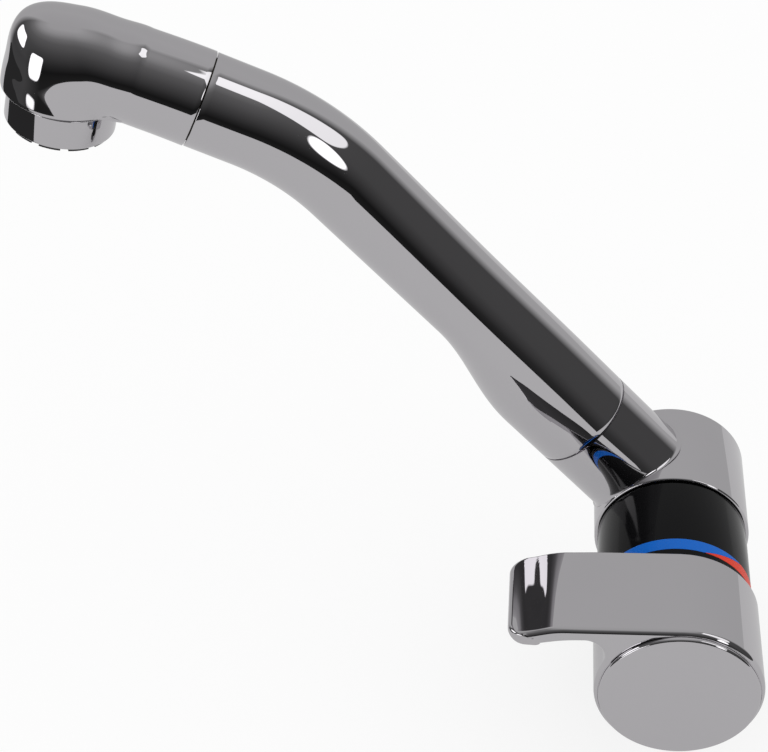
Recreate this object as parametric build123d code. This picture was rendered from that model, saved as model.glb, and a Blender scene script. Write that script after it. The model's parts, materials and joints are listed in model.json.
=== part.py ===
from build123d import *
import math
import os

# Single lever mixer tap with a level barrel on a short neck.
# All sizes are millimetres. The origin lies on the worktop, on the axis of the neck.
# +Z is up, the barrel lies along Y with its handle at -Y, and the spout reaches towards -X.

# Clearances
RUNNING_GAP = 0.06
THREAD_GAP = 0.05
FACE_GAP = 0.1
SEAM_GAP = 0.35

# Barrel
AXIS_HEIGHT = 42.0
KNUCKLE_RADIUS = 23.0
KNUCKLE_LENGTH = 32.8
KNUCKLE_FRONT_Y = 13.0
KNUCKLE_EDGE = 0.6
SLEEVE_RADIUS = 22.15
SLEEVE_LENGTH = 32.4
SLEEVE_SEAM = 0.6
SLEEVE_WALL = 1.7

# Neck, foot and base
NECK_RADIUS = 12.0
NECK_FOOT_RADIUS = 14.0
NECK_FLARE_TOP = 17.0
NECK_WALL = 1.2
FOOT_RADIUS = 9.0
FOOT_DEPTH = 15.0
BUSH_WALL = 1.4
BUSH_LENGTH = 16.0
GASKET_THICKNESS = 1.5
GASKET_INSET = 0.5
FLANGE_RADIUS = 19.5
FLANGE_TOP = 9.0
FLANGE_RIM = 2.5
FLANGE_SHOULDER_RADIUS = 14.6
SHANK_RADIUS = 12.5
SHANK_LENGTH = 46.0
SHANK_SEAT = 2.5
WORKTOP_THICKNESS = 22.0
CLAMP_RADIUS = 20.0
RUBBER_WASHER_THICKNESS = 3.0
STEEL_WASHER_THICKNESS = 2.0
NUT_ACROSS_FLATS = 32.0
NUT_THICKNESS = 8.0
CLIP_THICKNESS = 1.0
CLIP_RADIUS = 10.3
CLIP_GROOVE_DEPTH = 0.9
CLIP_OPENING = 5.0

# Copper tails and drilled water ways
TAIL_SPACING = 9.2
TAIL_RADIUS = 4.0
TAIL_BORE = 2.2
TAIL_LENGTH = 55.0
TAIL_STEM_RADIUS = 3.0
TAIL_STEM_LENGTH = 7.0
WATERWAY_RADIUS = 1.8
WATERWAY_BALL = 2.0
COLD_WATERWAY_Y = 4.5
HOT_WATERWAY_Y = 8.5

# Cartridge, from its floor in the brass core towards the handle
CARTRIDGE_RADIUS = 17.4
CARTRIDGE_WALL = 1.8
CARTRIDGE_FLOOR_Y = 1.5
SEAL_THICKNESS = 0.8
SEAL_WALL = 1.0
PORT_RADIUS = 2.6
PORT_X = -8.5
PORT_Z = 6.5
OUTLET_PORT_RADIUS = 3.0
BASE_PLATE_THICKNESS = 2.2
FIXED_DISC_THICKNESS = 2.8
MOVING_DISC_THICKNESS = 4.6
MOVING_DISC_RADIUS = 13.0
MIXING_DEPTH = 1.0
MIXING_LEFT = 5.7
MIXING_RIGHT = 4.0
MIXING_HALF_HEIGHT = 8.0
DRIVE_DEPTH = 2.4
DRIVE_CLEARANCE = 0.25
KEY_Z = 9.5
KEY_WIDTH = 3.0
KEY_DEPTH = 1.2
KEY_LENGTH = 12.0
HOUSING_LENGTH = 19.2
HOUSING_LIP = 2.4
CARRIER_NECK_RADIUS = 11.2
CARRIER_LENGTH = 14.6
CARTRIDGE_NUT_LENGTH = 6.0
CORE_WALL = 3.0

# Lever pivot, spindle and the domed cover round them
PIVOT_Y = -14.7
PIVOT_PIN_RADIUS = 1.5
PIVOT_PIN_LENGTH = 20.0
SPINDLE_SIDE = 8.0
SPINDLE_FRONT_Y = -46.0
SPINDLE_REAR_Y = -10.5
SPINDLE_BALL_RADIUS = 3.0
SPINDLE_BALL_Y = -9.8
LIFT_ANGLE = 22.0
COVER_SPHERE_RADIUS = 22.7
COVER_WALL = 1.5
COVER_OPENING_RADIUS = 13.5
COVER_WEB = 1.6

# Spigot that the knuckle turns on
SPIGOT_RADIUS = 12.4
SPIGOT_BORE = 7.6
SPIGOT_LENGTH = 24.0
STUD_RADIUS = 7.0
STUD_LENGTH = 6.4
CROSS_PORT_RADIUS = 3.2
CHAMBER_RADIUS = 15.0
CHAMBER_WIDTH = 9.0
O_RING_SECTION = 1.6
KNUCKLE_POCKET_RADIUS = 20.0
KNUCKLE_POCKET_DEPTH = 8.4
POCKET_FLOOR = 3.0
POCKET_FLOOR_RADIUS = 19.0
END_CAP_THICKNESS = 2.0
LOCK_WASHER_THICKNESS = 1.2
LOCK_WASHER_RADIUS = 16.0
LOCK_NUT_THICKNESS = 4.0
LOCK_NUT_ACROSS_FLATS = 20.0

# Coloured temperature band
BAND_WIDTH = 4.2
BAND_REAR_Y = -12.0
BAND_DEPTH = 0.5
BAND_HALF_ANGLE = 112.0
BAND_SPLIT_FRONT_ANGLE = 17.0
BAND_SPLIT_REAR_ANGLE = 54.0

# Handle and its blade
HANDLE_RADIUS = 23.6
HANDLE_REAR_Y = -19.7
HANDLE_LENGTH = 31.5
HANDLE_EDGE = 0.9
SKIRT_WALL = 0.85
SKIRT_LENGTH = 4.5
HANDLE_WALL = 1.7
HANDLE_WEB_Y = -38.3
HANDLE_WEB = 3.0
HANDLE_BOSS_RADIUS = 8.6
CAP_LIP = 1.2
CAP_PROUD = 1.4
CAP_SEAT_DEPTH = 1.4
CAP_EDGE = 0.9
CAP_SKIRT_ROOM = 1.5
CAP_SKIRT_DEPTH = 4.0
CAP_THICKNESS = 1.6
GRUB_RADIUS = 2.0
GRUB_LENGTH = 5.0
GRUB_SOCKET_RADIUS = 1.0
GRUB_SOCKET_DEPTH = 2.5
BLADE_REACH = 48.2
BLADE_SHOULDER = 32.0
BLADE_TOP = 22.3
BLADE_TIP_TOP = 18.9
BLADE_TIP_START = 43.7
BLADE_THICKNESS = 4.5
BLADE_TIP_THICKNESS = 3.7
BLADE_CORNER = 5.0
BLADE_ROOT = 26.7
BLADE_ROOT_DROP = 4.3
BLADE_FOOT_ANGLE = 66.0
BLADE_TAPER = 1.0

# Spout
SPOUT_ANGLE = 47.5
STUB_RADIUS = 16.1
STUB_REACH = 42.7
STUB_BORE = 8.5
NIPPLE_RADIUS = 10.6
NIPPLE_LENGTH = 14.0
NIPPLE_RING_PLACE = 8.4
NIPPLE_SCREW_PLACE = 4.2
SOCKET_ROOM = 2.0
TUBE_SCREW_DEPTH = 0.5
TUBE_RADIUS = 13.5
TUBE_WALL = 1.7
TUBE_RISE = 3.2
SWELL_START = 62.0
SWELL_END = 98.0
SWELL_STEPS = 6
TUBE_CORNER_REACH = 165.6
BEND_RADIUS = 75.0
HEAD_ANGLE = 22.5
UPPER_LEG = 30.2
HEAD_NIPPLE_LENGTH = 12.0

# Head and nozzle
HEAD_RADIUS = 13.6
HEAD_BORE = 8.0
HEAD_BORE_BALL = 8.3
HEAD_WALL = 3.2
HEAD_REACH = 37.2
HEAD_SEAT_DEPTH = 10.0
ELBOW_TURN = 100.0
ELBOW_GAP = 1.5
ELBOW_HEIGHTS = (27.2, 26.9, 32.4, 38.7, 36.0, 33.6)
ELBOW_HALF_WIDTHS = (13.6, 13.7, 14.2, 15.0, 16.0, 16.8)
OVAL_POINTS = 12
NOZZLE_RADIUS = 15.2
NOZZLE_DROP = 13.4
NOZZLE_RING_HEIGHT = 9.2
NOZZLE_EDGE = 0.5
NOZZLE_THREAD_RADIUS = 13.2
NOZZLE_THREAD_LENGTH = 5.0
NOZZLE_BORE = 11.6
NOZZLE_RIM_ROOM = 2.4
AERATOR_PROUD = 1.0
AERATOR_HEIGHT = 10.0
AERATOR_RIM_RADIUS = 14.2
AERATOR_RIM_WALL = 1.8
AERATOR_WALL = 1.3
AERATOR_TAB_COUNT = 11
AERATOR_TAB_GAP = 2.2
AERATOR_SCREEN_THICKNESS = 1.0
AERATOR_TAB_DEPTH = 1.2
AERATOR_FLOOR_DEPTH = 2.2
AERATOR_FLOOR = 1.5
AERATOR_HOLE_RADIUS = 0.9
AERATOR_HOLE_SPACING = 3.2
AERATOR_HOLE_RINGS = 2
AERATOR_WASHER_THICKNESS = 2.0
AERATOR_WASHER_WIDTH = 3.0

# Places worked out from the sizes above
KNUCKLE_REAR_Y = KNUCKLE_FRONT_Y + KNUCKLE_LENGTH
SPOUT_Y = KNUCKLE_FRONT_Y + KNUCKLE_LENGTH / 2
SLEEVE_REAR_Y = KNUCKLE_FRONT_Y - SLEEVE_SEAM
SLEEVE_FRONT_Y = SLEEVE_REAR_Y - SLEEVE_LENGTH
CORE_RADIUS = CARTRIDGE_RADIUS + CORE_WALL
SHELL_BORE = SLEEVE_RADIUS - SLEEVE_WALL
NECK_BOTTOM = FLANGE_TOP + SEAM_GAP
CORE_NECK_RADIUS = NECK_RADIUS - NECK_WALL
BUSH_RADIUS = FOOT_RADIUS + RUNNING_GAP + BUSH_WALL
HANDLE_FRONT_Y = HANDLE_REAR_Y - HANDLE_LENGTH
CARTRIDGE_BORE = CARTRIDGE_RADIUS - CARTRIDGE_WALL
SEAL_FRONT_Y = CARTRIDGE_FLOOR_Y - SEAL_THICKNESS
BASE_FRONT_Y = SEAL_FRONT_Y - BASE_PLATE_THICKNESS
FIXED_FRONT_Y = BASE_FRONT_Y - FIXED_DISC_THICKNESS
MOVING_FRONT_Y = FIXED_FRONT_Y - RUNNING_GAP - MOVING_DISC_THICKNESS
HOUSING_FRONT_Y = SEAL_FRONT_Y - HOUSING_LENGTH
CARRIER_REAR_Y = MOVING_FRONT_Y - FACE_GAP
CARRIER_FRONT_Y = CARRIER_REAR_Y - CARRIER_LENGTH
NUT_FRONT_Y = HOUSING_FRONT_Y - CARTRIDGE_NUT_LENGTH
SPIGOT_END_Y = SLEEVE_REAR_Y + SPIGOT_LENGTH
POCKET_Y = KNUCKLE_REAR_Y - KNUCKLE_POCKET_DEPTH
TUBE_BORE = TUBE_RADIUS - TUBE_WALL
TUBE_RING_REACH = STUB_REACH + NIPPLE_RING_PLACE
TUBE_SCREW_REACH = STUB_REACH + NIPPLE_SCREW_PLACE
NIPPLE_SEAT_RADIUS = HEAD_RADIUS - HEAD_WALL


def direction(angle):
    """Unit vector in the spout's plane, rising by angle degrees towards -X."""
    a = math.radians(angle)
    return Vector(-math.cos(a), 0, math.sin(a))


def rod(radius, start, end):
    """Round rod between two points."""
    start, end = Vector(*start), Vector(*end)
    plane = Plane(origin=start, z_dir=end - start)
    return plane * Cylinder(radius, (end - start).length, align=(Align.CENTER, Align.CENTER, Align.MIN))


def ring(outer, inner, start, end):
    """Round ring or tube between two points."""
    return rod(outer, start, end) - rod(inner, start, end)


def on_axis(y, x=0.0, z=0.0):
    """Point beside the barrel's axis."""
    return (x, y, AXIS_HEIGHT + z)


def barrel_rod(radius, y_front, y_rear, x=0.0, z=0.0):
    """Round rod parallel to the barrel's axis."""
    return rod(radius, on_axis(y_front, x, z), on_axis(y_rear, x, z))


def barrel_ring(outer, inner, y_front, y_rear):
    """Ring on the barrel's axis."""
    return barrel_rod(outer, y_front, y_rear) - barrel_rod(inner, y_front, y_rear)


def block(x0, x1, y0, y1, z0, z1):
    """Box between six planes."""
    size = Box(x1 - x0, y1 - y0, z1 - z0, align=(Align.MIN, Align.MIN, Align.MIN))
    return Pos(x0, y0, z0) * size


def barrel_block(x0, x1, y0, y1, z0, z1):
    """Box between six planes, with heights counted from the barrel's axis."""
    return block(x0, x1, y0, y1, AXIS_HEIGHT + z0, AXIS_HEIGHT + z1)


def o_ring(radius, centre, normal):
    """Rubber ring whose outside has the given radius."""
    plane = Plane(origin=centre, z_dir=normal)
    return plane * Torus(radius - O_RING_SECTION / 2, O_RING_SECTION / 2)


def o_ring_groove(radius, centre, normal):
    """Ring of metal to cut away where an O-ring lies."""
    half = Vector(*normal).normalized() * ((O_RING_SECTION + 2 * FACE_GAP) / 2)
    centre = Vector(*centre)
    floor = radius - O_RING_SECTION - FACE_GAP
    return ring(radius + 1.0, floor, centre - half, centre + half)


def hexagon(across_flats, bore, start, end):
    """Hexagonal nut between two points."""
    start, end = Vector(*start), Vector(*end)
    plane = Plane(origin=start, z_dir=end - start)
    sketch = plane * RegularPolygon(across_flats / 2, 6, major_radius=False)
    return extrude(sketch, (end - start).length) - rod(bore, start, end)


def spout_point(reach, rise=0.0):
    """Point in the spout's plane, reach along the stub's axis and rise across it."""
    across = Vector(math.sin(math.radians(SPOUT_ANGLE)), 0, math.cos(math.radians(SPOUT_ANGLE)))
    return Vector(0, SPOUT_Y, AXIS_HEIGHT) + direction(SPOUT_ANGLE) * reach + across * rise


# Path of the tube: a straight lower leg, a bend and a straight upper leg
TUBE_CORNER = spout_point(TUBE_CORNER_REACH, TUBE_RISE)
HEAD_SEAM = TUBE_CORNER + direction(HEAD_ANGLE) * UPPER_LEG
ELBOW_CORNER = HEAD_SEAM + direction(HEAD_ANGLE) * HEAD_REACH
NOZZLE_DIRECTION = direction(HEAD_ANGLE - ELBOW_TURN)
NOZZLE_SEAM = ELBOW_CORNER + NOZZLE_DIRECTION * NOZZLE_DROP
NOZZLE_END = NOZZLE_SEAM + NOZZLE_DIRECTION * NOZZLE_RING_HEIGHT

# The elbow's sections fan about a point inside its bend, clear of the head and of the nozzle
HEAD_ROOM = HEAD_RADIUS + ELBOW_GAP
NOZZLE_ROOM = ELBOW_HALF_WIDTHS[-1] + ELBOW_GAP
ELBOW_CORNER_ANGLE = math.radians(180 - ELBOW_TURN)
ELBOW_BACK = (NOZZLE_ROOM + HEAD_ROOM * math.cos(ELBOW_CORNER_ANGLE)) / math.sin(ELBOW_CORNER_ANGLE)
ELBOW_START = ELBOW_CORNER - direction(HEAD_ANGLE) * ELBOW_BACK


def bent_rod(radius, start, end):
    """Round rod that follows the tube's path from a point on its lower leg to one on its upper leg."""
    path = FilletPolyline(start, TUBE_CORNER, end, radius=BEND_RADIUS)
    profile = Plane(origin=start, z_dir=direction(SPOUT_ANGLE)) * Circle(radius)
    return sweep(profile, path=path)


def across(along):
    """Unit vector square to a direction in the spout's plane, on the outer side of the bends."""
    return Vector(along.Z, 0, -along.X)


def circle_at(centre, normal, radius):
    """Round section for a loft."""
    return Plane(origin=centre, x_dir=(0, 1, 0), z_dir=normal) * Circle(radius)


def smooth(t):
    """Even step from 0 to 1."""
    return t * t * (3 - 2 * t)


# Base: what stays fixed to the worktop


def base_flange():
    """Chromed ring that covers the worktop hole, with a seat for the shank."""
    rim = rod(FLANGE_RADIUS, (0, 0, GASKET_THICKNESS), (0, 0, GASKET_THICKNESS + FLANGE_RIM))
    cone = Pos(0, 0, GASKET_THICKNESS + FLANGE_RIM) * Cone(
        FLANGE_RADIUS,
        FLANGE_SHOULDER_RADIUS,
        FLANGE_TOP - GASKET_THICKNESS - FLANGE_RIM,
        align=(Align.CENTER, Align.CENTER, Align.MIN),
    )
    bore = rod(FOOT_RADIUS + RUNNING_GAP, (0, 0, 0), (0, 0, FLANGE_TOP))
    seat_top = GASKET_THICKNESS + SHANK_SEAT
    seat = rod(SHANK_RADIUS + THREAD_GAP, (0, 0, 0), (0, 0, seat_top))
    return rim + cone - bore - seat


def base_gasket():
    """Flat rubber ring between the flange and the worktop."""
    return ring(FLANGE_RADIUS - GASKET_INSET, SHANK_RADIUS + FACE_GAP, (0, 0, 0), (0, 0, GASKET_THICKNESS))


def threaded_shank():
    """Hollow brass shank that passes through the worktop."""
    top = GASKET_THICKNESS + SHANK_SEAT - FACE_GAP
    return ring(SHANK_RADIUS, BUSH_RADIUS + THREAD_GAP, (0, 0, -SHANK_LENGTH), (0, 0, top))


def swivel_bush():
    """Plastic bearing between the turning foot and the shank."""
    top = GASKET_THICKNESS + SHANK_SEAT - FACE_GAP
    return ring(BUSH_RADIUS, FOOT_RADIUS + RUNNING_GAP, (0, 0, top - BUSH_LENGTH), (0, 0, top))


def rubber_washer():
    """Washer under the worktop."""
    bottom = -WORKTOP_THICKNESS - RUBBER_WASHER_THICKNESS
    return ring(CLAMP_RADIUS, SHANK_RADIUS + FACE_GAP, (0, 0, bottom), (0, 0, -WORKTOP_THICKNESS))


def steel_washer():
    """Washer between the rubber and the nut."""
    top = -WORKTOP_THICKNESS - RUBBER_WASHER_THICKNESS
    return ring(CLAMP_RADIUS, SHANK_RADIUS + FACE_GAP, (0, 0, top - STEEL_WASHER_THICKNESS), (0, 0, top))


def shank_nut():
    """Nut that clamps the tap to the worktop."""
    top = -WORKTOP_THICKNESS - RUBBER_WASHER_THICKNESS - STEEL_WASHER_THICKNESS
    return hexagon(NUT_ACROSS_FLATS, SHANK_RADIUS + THREAD_GAP, (0, 0, top), (0, 0, top - NUT_THICKNESS))


# Body: the black middle of the barrel, which swivels on the base

CLIP_TOP = GASKET_THICKNESS + SHANK_SEAT - FACE_GAP - BUSH_LENGTH - FACE_GAP
FOOT_BOTTOM = -FOOT_DEPTH


def body_shell():
    """Glossy black sleeve with its neck, grooved for the coloured band."""
    sleeve = barrel_rod(SLEEVE_RADIUS, SLEEVE_FRONT_Y, SLEEVE_REAR_Y)
    neck = rod(NECK_RADIUS, (0, 0, NECK_FLARE_TOP), (0, 0, AXIS_HEIGHT))
    flare = Pos(0, 0, NECK_BOTTOM) * Cone(
        NECK_FOOT_RADIUS,
        NECK_RADIUS,
        NECK_FLARE_TOP - NECK_BOTTOM,
        align=(Align.CENTER, Align.CENTER, Align.MIN),
    )
    shell = sleeve + neck + flare
    shell -= barrel_rod(SHELL_BORE, SLEEVE_FRONT_Y, SLEEVE_REAR_Y)
    shell -= rod(CORE_NECK_RADIUS + FACE_GAP, (0, 0, NECK_BOTTOM), (0, 0, AXIS_HEIGHT))
    groove_floor = SLEEVE_RADIUS - BAND_DEPTH - FACE_GAP
    groove = barrel_ring(SLEEVE_RADIUS + 1, groove_floor, BAND_REAR_Y - BAND_WIDTH, BAND_REAR_Y)
    return shell - (groove & band_sector(-BAND_HALF_ANGLE, BAND_HALF_ANGLE))


def band_sector(first, last):
    """Wedge about the barrel's axis between two angles, counted from the top towards +X."""
    reach = 2 * SLEEVE_RADIUS
    steps = 8
    points = [(0.0, 0.0)]
    for i in range(steps + 1):
        a = math.radians(first + (last - first) * i / steps)
        points.append((reach * math.sin(a), reach * math.cos(a)))
    outline = Polyline(*points, close=True)
    face = Plane(origin=on_axis(SLEEVE_REAR_Y), x_dir=(1, 0, 0), z_dir=(0, -1, 0)) * make_face(outline)
    return extrude(face, SLEEVE_LENGTH)


def band_ring():
    """Ring that fills the band's groove."""
    front = BAND_REAR_Y - BAND_WIDTH + RUNNING_GAP
    rear = BAND_REAR_Y - RUNNING_GAP
    whole = barrel_ring(SLEEVE_RADIUS, SLEEVE_RADIUS - BAND_DEPTH, front, rear)
    last = BAND_HALF_ANGLE - math.degrees(RUNNING_GAP / SLEEVE_RADIUS)
    return whole & band_sector(-last, last)


def band_split(side):
    """Half space on one side of the slanted line between the blue and the red."""
    turn = BAND_SPLIT_REAR_ANGLE - BAND_SPLIT_FRONT_ANGLE
    middle = (BAND_SPLIT_REAR_ANGLE + BAND_SPLIT_FRONT_ANGLE) / 2
    slant = math.degrees(math.atan2(SLEEVE_RADIUS * math.radians(turn), BAND_WIDTH))
    reach = 4 * SLEEVE_RADIUS
    half = Pos(side * reach / 2, 0, 0) * Box(reach, reach, reach)
    middle_y = BAND_REAR_Y - BAND_WIDTH / 2
    return Pos(*on_axis(middle_y)) * Rot(0, middle, 0) * Rot(0, 0, -slant) * half


def cold_band():
    """Blue part of the temperature band."""
    return band_ring() & band_split(-1)


def hot_band():
    """Red part of the temperature band."""
    return band_ring() & band_split(1)


def valve_core():
    """Brass body: cartridge cup, spigot for the knuckle, neck and foot, with drilled water ways."""
    core = barrel_rod(CORE_RADIUS, SLEEVE_FRONT_Y, SLEEVE_REAR_Y)
    core += rod(CORE_NECK_RADIUS, (0, 0, NECK_BOTTOM), (0, 0, AXIS_HEIGHT))
    core += rod(FOOT_RADIUS, (0, 0, FOOT_BOTTOM), (0, 0, AXIS_HEIGHT))
    core -= barrel_rod(CARTRIDGE_RADIUS + THREAD_GAP, SLEEVE_FRONT_Y, CARTRIDGE_FLOOR_Y)
    core += barrel_rod(SPIGOT_RADIUS, SLEEVE_REAR_Y, SPIGOT_END_Y)
    core += barrel_rod(STUD_RADIUS, SPIGOT_END_Y, SPIGOT_END_Y + STUD_LENGTH)
    # Outlet way from the cartridge's middle into the spigot, and out through cross ports
    core -= barrel_rod(OUTLET_PORT_RADIUS, CARTRIDGE_FLOOR_Y, SLEEVE_REAR_Y)
    core -= barrel_rod(SPIGOT_BORE, SLEEVE_REAR_Y, SPOUT_Y + CROSS_PORT_RADIUS + 1.0)
    reach = SPIGOT_RADIUS + 1.0
    core -= rod(CROSS_PORT_RADIUS, on_axis(SPOUT_Y, -reach), on_axis(SPOUT_Y, reach))
    core -= rod(CROSS_PORT_RADIUS, on_axis(SPOUT_Y, z=-reach), on_axis(SPOUT_Y, z=reach))
    # Inlet ways from the tails up into the cartridge's floor
    for side, depth in ((-1, COLD_WATERWAY_Y), (1, HOT_WATERWAY_Y)):
        x = side * TAIL_SPACING / 2
        stem_top = FOOT_BOTTOM + TAIL_STEM_LENGTH
        bend = (x, 0, NECK_BOTTOM)
        top = on_axis(depth, PORT_X, side * PORT_Z)
        core -= rod(TAIL_STEM_RADIUS, (x, 0, FOOT_BOTTOM), (x, 0, stem_top))
        core -= rod(WATERWAY_RADIUS, (x, 0, stem_top), bend)
        core -= Pos(*bend) * Sphere(WATERWAY_BALL)
        core -= rod(WATERWAY_RADIUS, bend, top)
        core -= Pos(*top) * Sphere(WATERWAY_BALL)
        core -= barrel_rod(WATERWAY_RADIUS, CARTRIDGE_FLOOR_Y, depth, PORT_X, side * PORT_Z)
    for y in spigot_ring_places():
        core -= o_ring_groove(SPIGOT_RADIUS, on_axis(y), (0, 1, 0))
    clip_floor = FOOT_RADIUS - CLIP_GROOVE_DEPTH
    groove_bottom = CLIP_TOP - CLIP_THICKNESS - FACE_GAP
    core -= ring(FOOT_RADIUS + 1, clip_floor, (0, 0, groove_bottom), (0, 0, CLIP_TOP))
    return core


def spigot_ring_places():
    """Places of the two O-rings, one each side of the cross ports."""
    offset = CHAMBER_WIDTH / 2 + O_RING_SECTION + 1.0
    return (SPOUT_Y - offset, SPOUT_Y + offset - 2 * FACE_GAP)


def spigot_o_rings():
    """Two rubber rings that seal the knuckle on its spigot."""
    return [o_ring(SPIGOT_RADIUS, on_axis(y), (0, 1, 0)) for y in spigot_ring_places()]


def foot_clip():
    """Open spring ring that keeps the foot in its bush."""
    top = CLIP_TOP - FACE_GAP / 2
    bottom = top - CLIP_THICKNESS
    inner = FOOT_RADIUS - CLIP_GROOVE_DEPTH + THREAD_GAP
    whole = ring(CLIP_RADIUS, inner, (0, 0, bottom), (0, 0, top))
    half = CLIP_OPENING / 2
    return whole - block(-half, half, 0, CLIP_RADIUS + 1, bottom, top)


def inlet_tail(side):
    """Plain copper tail with a thinner stem soldered into the foot."""
    x = side * TAIL_SPACING / 2
    end = FOOT_BOTTOM - TAIL_LENGTH
    top = FOOT_BOTTOM + TAIL_STEM_LENGTH - FACE_GAP
    tail = rod(TAIL_RADIUS, (x, 0, end), (x, 0, FOOT_BOTTOM))
    tail += rod(TAIL_STEM_RADIUS - THREAD_GAP, (x, 0, FOOT_BOTTOM), (x, 0, top))
    return tail - rod(TAIL_BORE, (x, 0, end), (x, 0, top))


def cartridge_ports():
    """Centres of the three ports, with the radius of each."""
    return (
        (PORT_X, -PORT_Z, PORT_RADIUS),
        (PORT_X, PORT_Z, PORT_RADIUS),
        (0.0, 0.0, OUTLET_PORT_RADIUS),
    )


def cut_ports(piece, y_front, y_rear):
    """Cut the three ports through a plate."""
    for x, z, radius in cartridge_ports():
        piece -= barrel_rod(radius, y_front, y_rear, x, z)
    return piece


def cartridge_seals():
    """Three rubber rings between the cartridge and its floor."""
    seals = []
    for x, z, radius in cartridge_ports():
        outer = barrel_rod(radius + SEAL_WALL, SEAL_FRONT_Y, CARTRIDGE_FLOOR_Y, x, z)
        seals.append(outer - barrel_rod(radius, SEAL_FRONT_Y, CARTRIDGE_FLOOR_Y, x, z))
    return seals


def cartridge_base():
    """Plastic plate that closes the cartridge and holds its seals."""
    plate = barrel_rod(CARTRIDGE_BORE - THREAD_GAP, BASE_FRONT_Y, SEAL_FRONT_Y)
    return cut_ports(plate, BASE_FRONT_Y, SEAL_FRONT_Y)


def fixed_disc():
    """Ceramic disc with the three ports."""
    disc = barrel_rod(CARTRIDGE_BORE - THREAD_GAP, FIXED_FRONT_Y, BASE_FRONT_Y)
    return cut_ports(disc, FIXED_FRONT_Y, BASE_FRONT_Y)


def cartridge_housing():
    """Plastic cup round the discs, with a lip that keeps the carrier in."""
    housing = barrel_ring(CARTRIDGE_RADIUS, CARTRIDGE_BORE, HOUSING_FRONT_Y, SEAL_FRONT_Y)
    lip_bore = CARRIER_NECK_RADIUS + RUNNING_GAP
    return housing + barrel_ring(CARTRIDGE_RADIUS, lip_bore, HOUSING_FRONT_Y, HOUSING_FRONT_Y + HOUSING_LIP)


def cartridge_nut():
    """Brass ring that screws into the core and holds the cartridge down."""
    bore = CARRIER_NECK_RADIUS + 2 * FACE_GAP
    return barrel_ring(CARTRIDGE_RADIUS, bore, NUT_FRONT_Y, HOUSING_FRONT_Y)


def cartridge_cover():
    """Black dome inside the handle, round about the lever's pivot, screwed down on the nut."""
    centre = Pos(*on_axis(PIVOT_Y))
    dome = centre * Sphere(COVER_SPHERE_RADIUS) - centre * Sphere(COVER_SPHERE_RADIUS - COVER_WALL)
    web = barrel_rod(COVER_SPHERE_RADIUS, NUT_FRONT_Y - FACE_GAP - COVER_WEB, NUT_FRONT_Y - FACE_GAP)
    dome += web & (centre * Sphere(COVER_SPHERE_RADIUS - COVER_WALL / 2))
    reach = 2 * COVER_SPHERE_RADIUS
    front_half = barrel_rod(reach, SLEEVE_FRONT_Y - reach, SLEEVE_FRONT_Y - FACE_GAP)
    return (dome & front_half) - barrel_rod(COVER_OPENING_RADIUS, SLEEVE_FRONT_Y - reach, SLEEVE_FRONT_Y)


# Carrier, moving disc and lever


def tilt_room(distance):
    """How far the spindle's far side moves at a distance from the pivot."""
    a = math.radians(LIFT_ANGLE)
    return distance * math.tan(a) + SPINDLE_SIDE / 2 / math.cos(a) + 2 * FACE_GAP


def cartridge_carrier():
    """Plastic guide that turns with the lever and carries its pivot pin."""
    shoulder_y = HOUSING_FRONT_Y + HOUSING_LIP + FACE_GAP
    carrier = barrel_rod(CARTRIDGE_BORE - 2 * FACE_GAP, shoulder_y, CARRIER_REAR_Y)
    carrier += barrel_rod(CARRIER_NECK_RADIUS, CARRIER_FRONT_Y, shoulder_y)
    side = SPINDLE_SIDE / 2 + 2 * FACE_GAP
    front_room = tilt_room(PIVOT_Y - CARRIER_FRONT_Y)
    rear_room = tilt_room(CARRIER_REAR_Y - PIVOT_Y)
    near = SPINDLE_SIDE / 2
    carrier -= barrel_block(-side, front_room, CARRIER_FRONT_Y, PIVOT_Y + near, -side, side)
    carrier -= barrel_block(-rear_room, side, PIVOT_Y - near, CARRIER_REAR_Y, -side, side)
    for z in (-KEY_Z, KEY_Z):
        carrier += drive_key(z, KEY_LENGTH, KEY_WIDTH, KEY_DEPTH)
    return carrier - pivot_rod(PIVOT_PIN_RADIUS + THREAD_GAP)


def drive_key(z, length, width, depth):
    """Key between the carrier and the moving disc, which lets the disc slide but not turn."""
    half = width / 2
    return barrel_block(-length / 2, length / 2, CARRIER_REAR_Y, CARRIER_REAR_Y + depth, z - half, z + half)


def pivot_rod(radius):
    """Rod along the lever's pivot."""
    half = PIVOT_PIN_LENGTH / 2
    return rod(radius, on_axis(PIVOT_Y, z=-half), on_axis(PIVOT_Y, z=half))


def pivot_pin():
    """Steel pin that the spindle tilts on."""
    return pivot_rod(PIVOT_PIN_RADIUS)


def moving_disc():
    """Disc that the spindle's ball slides across the fixed disc, with its mixing hollow behind."""
    rear = FIXED_FRONT_Y - RUNNING_GAP
    disc = barrel_rod(MOVING_DISC_RADIUS, MOVING_FRONT_Y, rear)
    half = SPINDLE_BALL_RADIUS + DRIVE_CLEARANCE
    disc -= barrel_block(-half, half, MOVING_FRONT_Y, MOVING_FRONT_Y + DRIVE_DEPTH, -half, half)
    high = MIXING_HALF_HEIGHT
    disc -= barrel_block(-MIXING_LEFT, MIXING_RIGHT, rear - MIXING_DEPTH, rear, -high, high)
    for z in (-KEY_Z, KEY_Z):
        groove_depth = KEY_DEPTH + 2 * FACE_GAP
        disc -= drive_key(z, 2 * MOVING_DISC_RADIUS, KEY_WIDTH + 2 * RUNNING_GAP, groove_depth)
    return disc


def lever_spindle():
    """Square steel spindle from its ball in the moving disc to the handle's boss."""
    half = SPINDLE_SIDE / 2
    spindle = barrel_block(-half, half, SPINDLE_FRONT_Y, SPINDLE_REAR_Y, -half, half)
    spindle += Pos(*on_axis(SPINDLE_BALL_Y)) * Sphere(SPINDLE_BALL_RADIUS)
    return spindle - pivot_rod(PIVOT_PIN_RADIUS + RUNNING_GAP)


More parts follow.
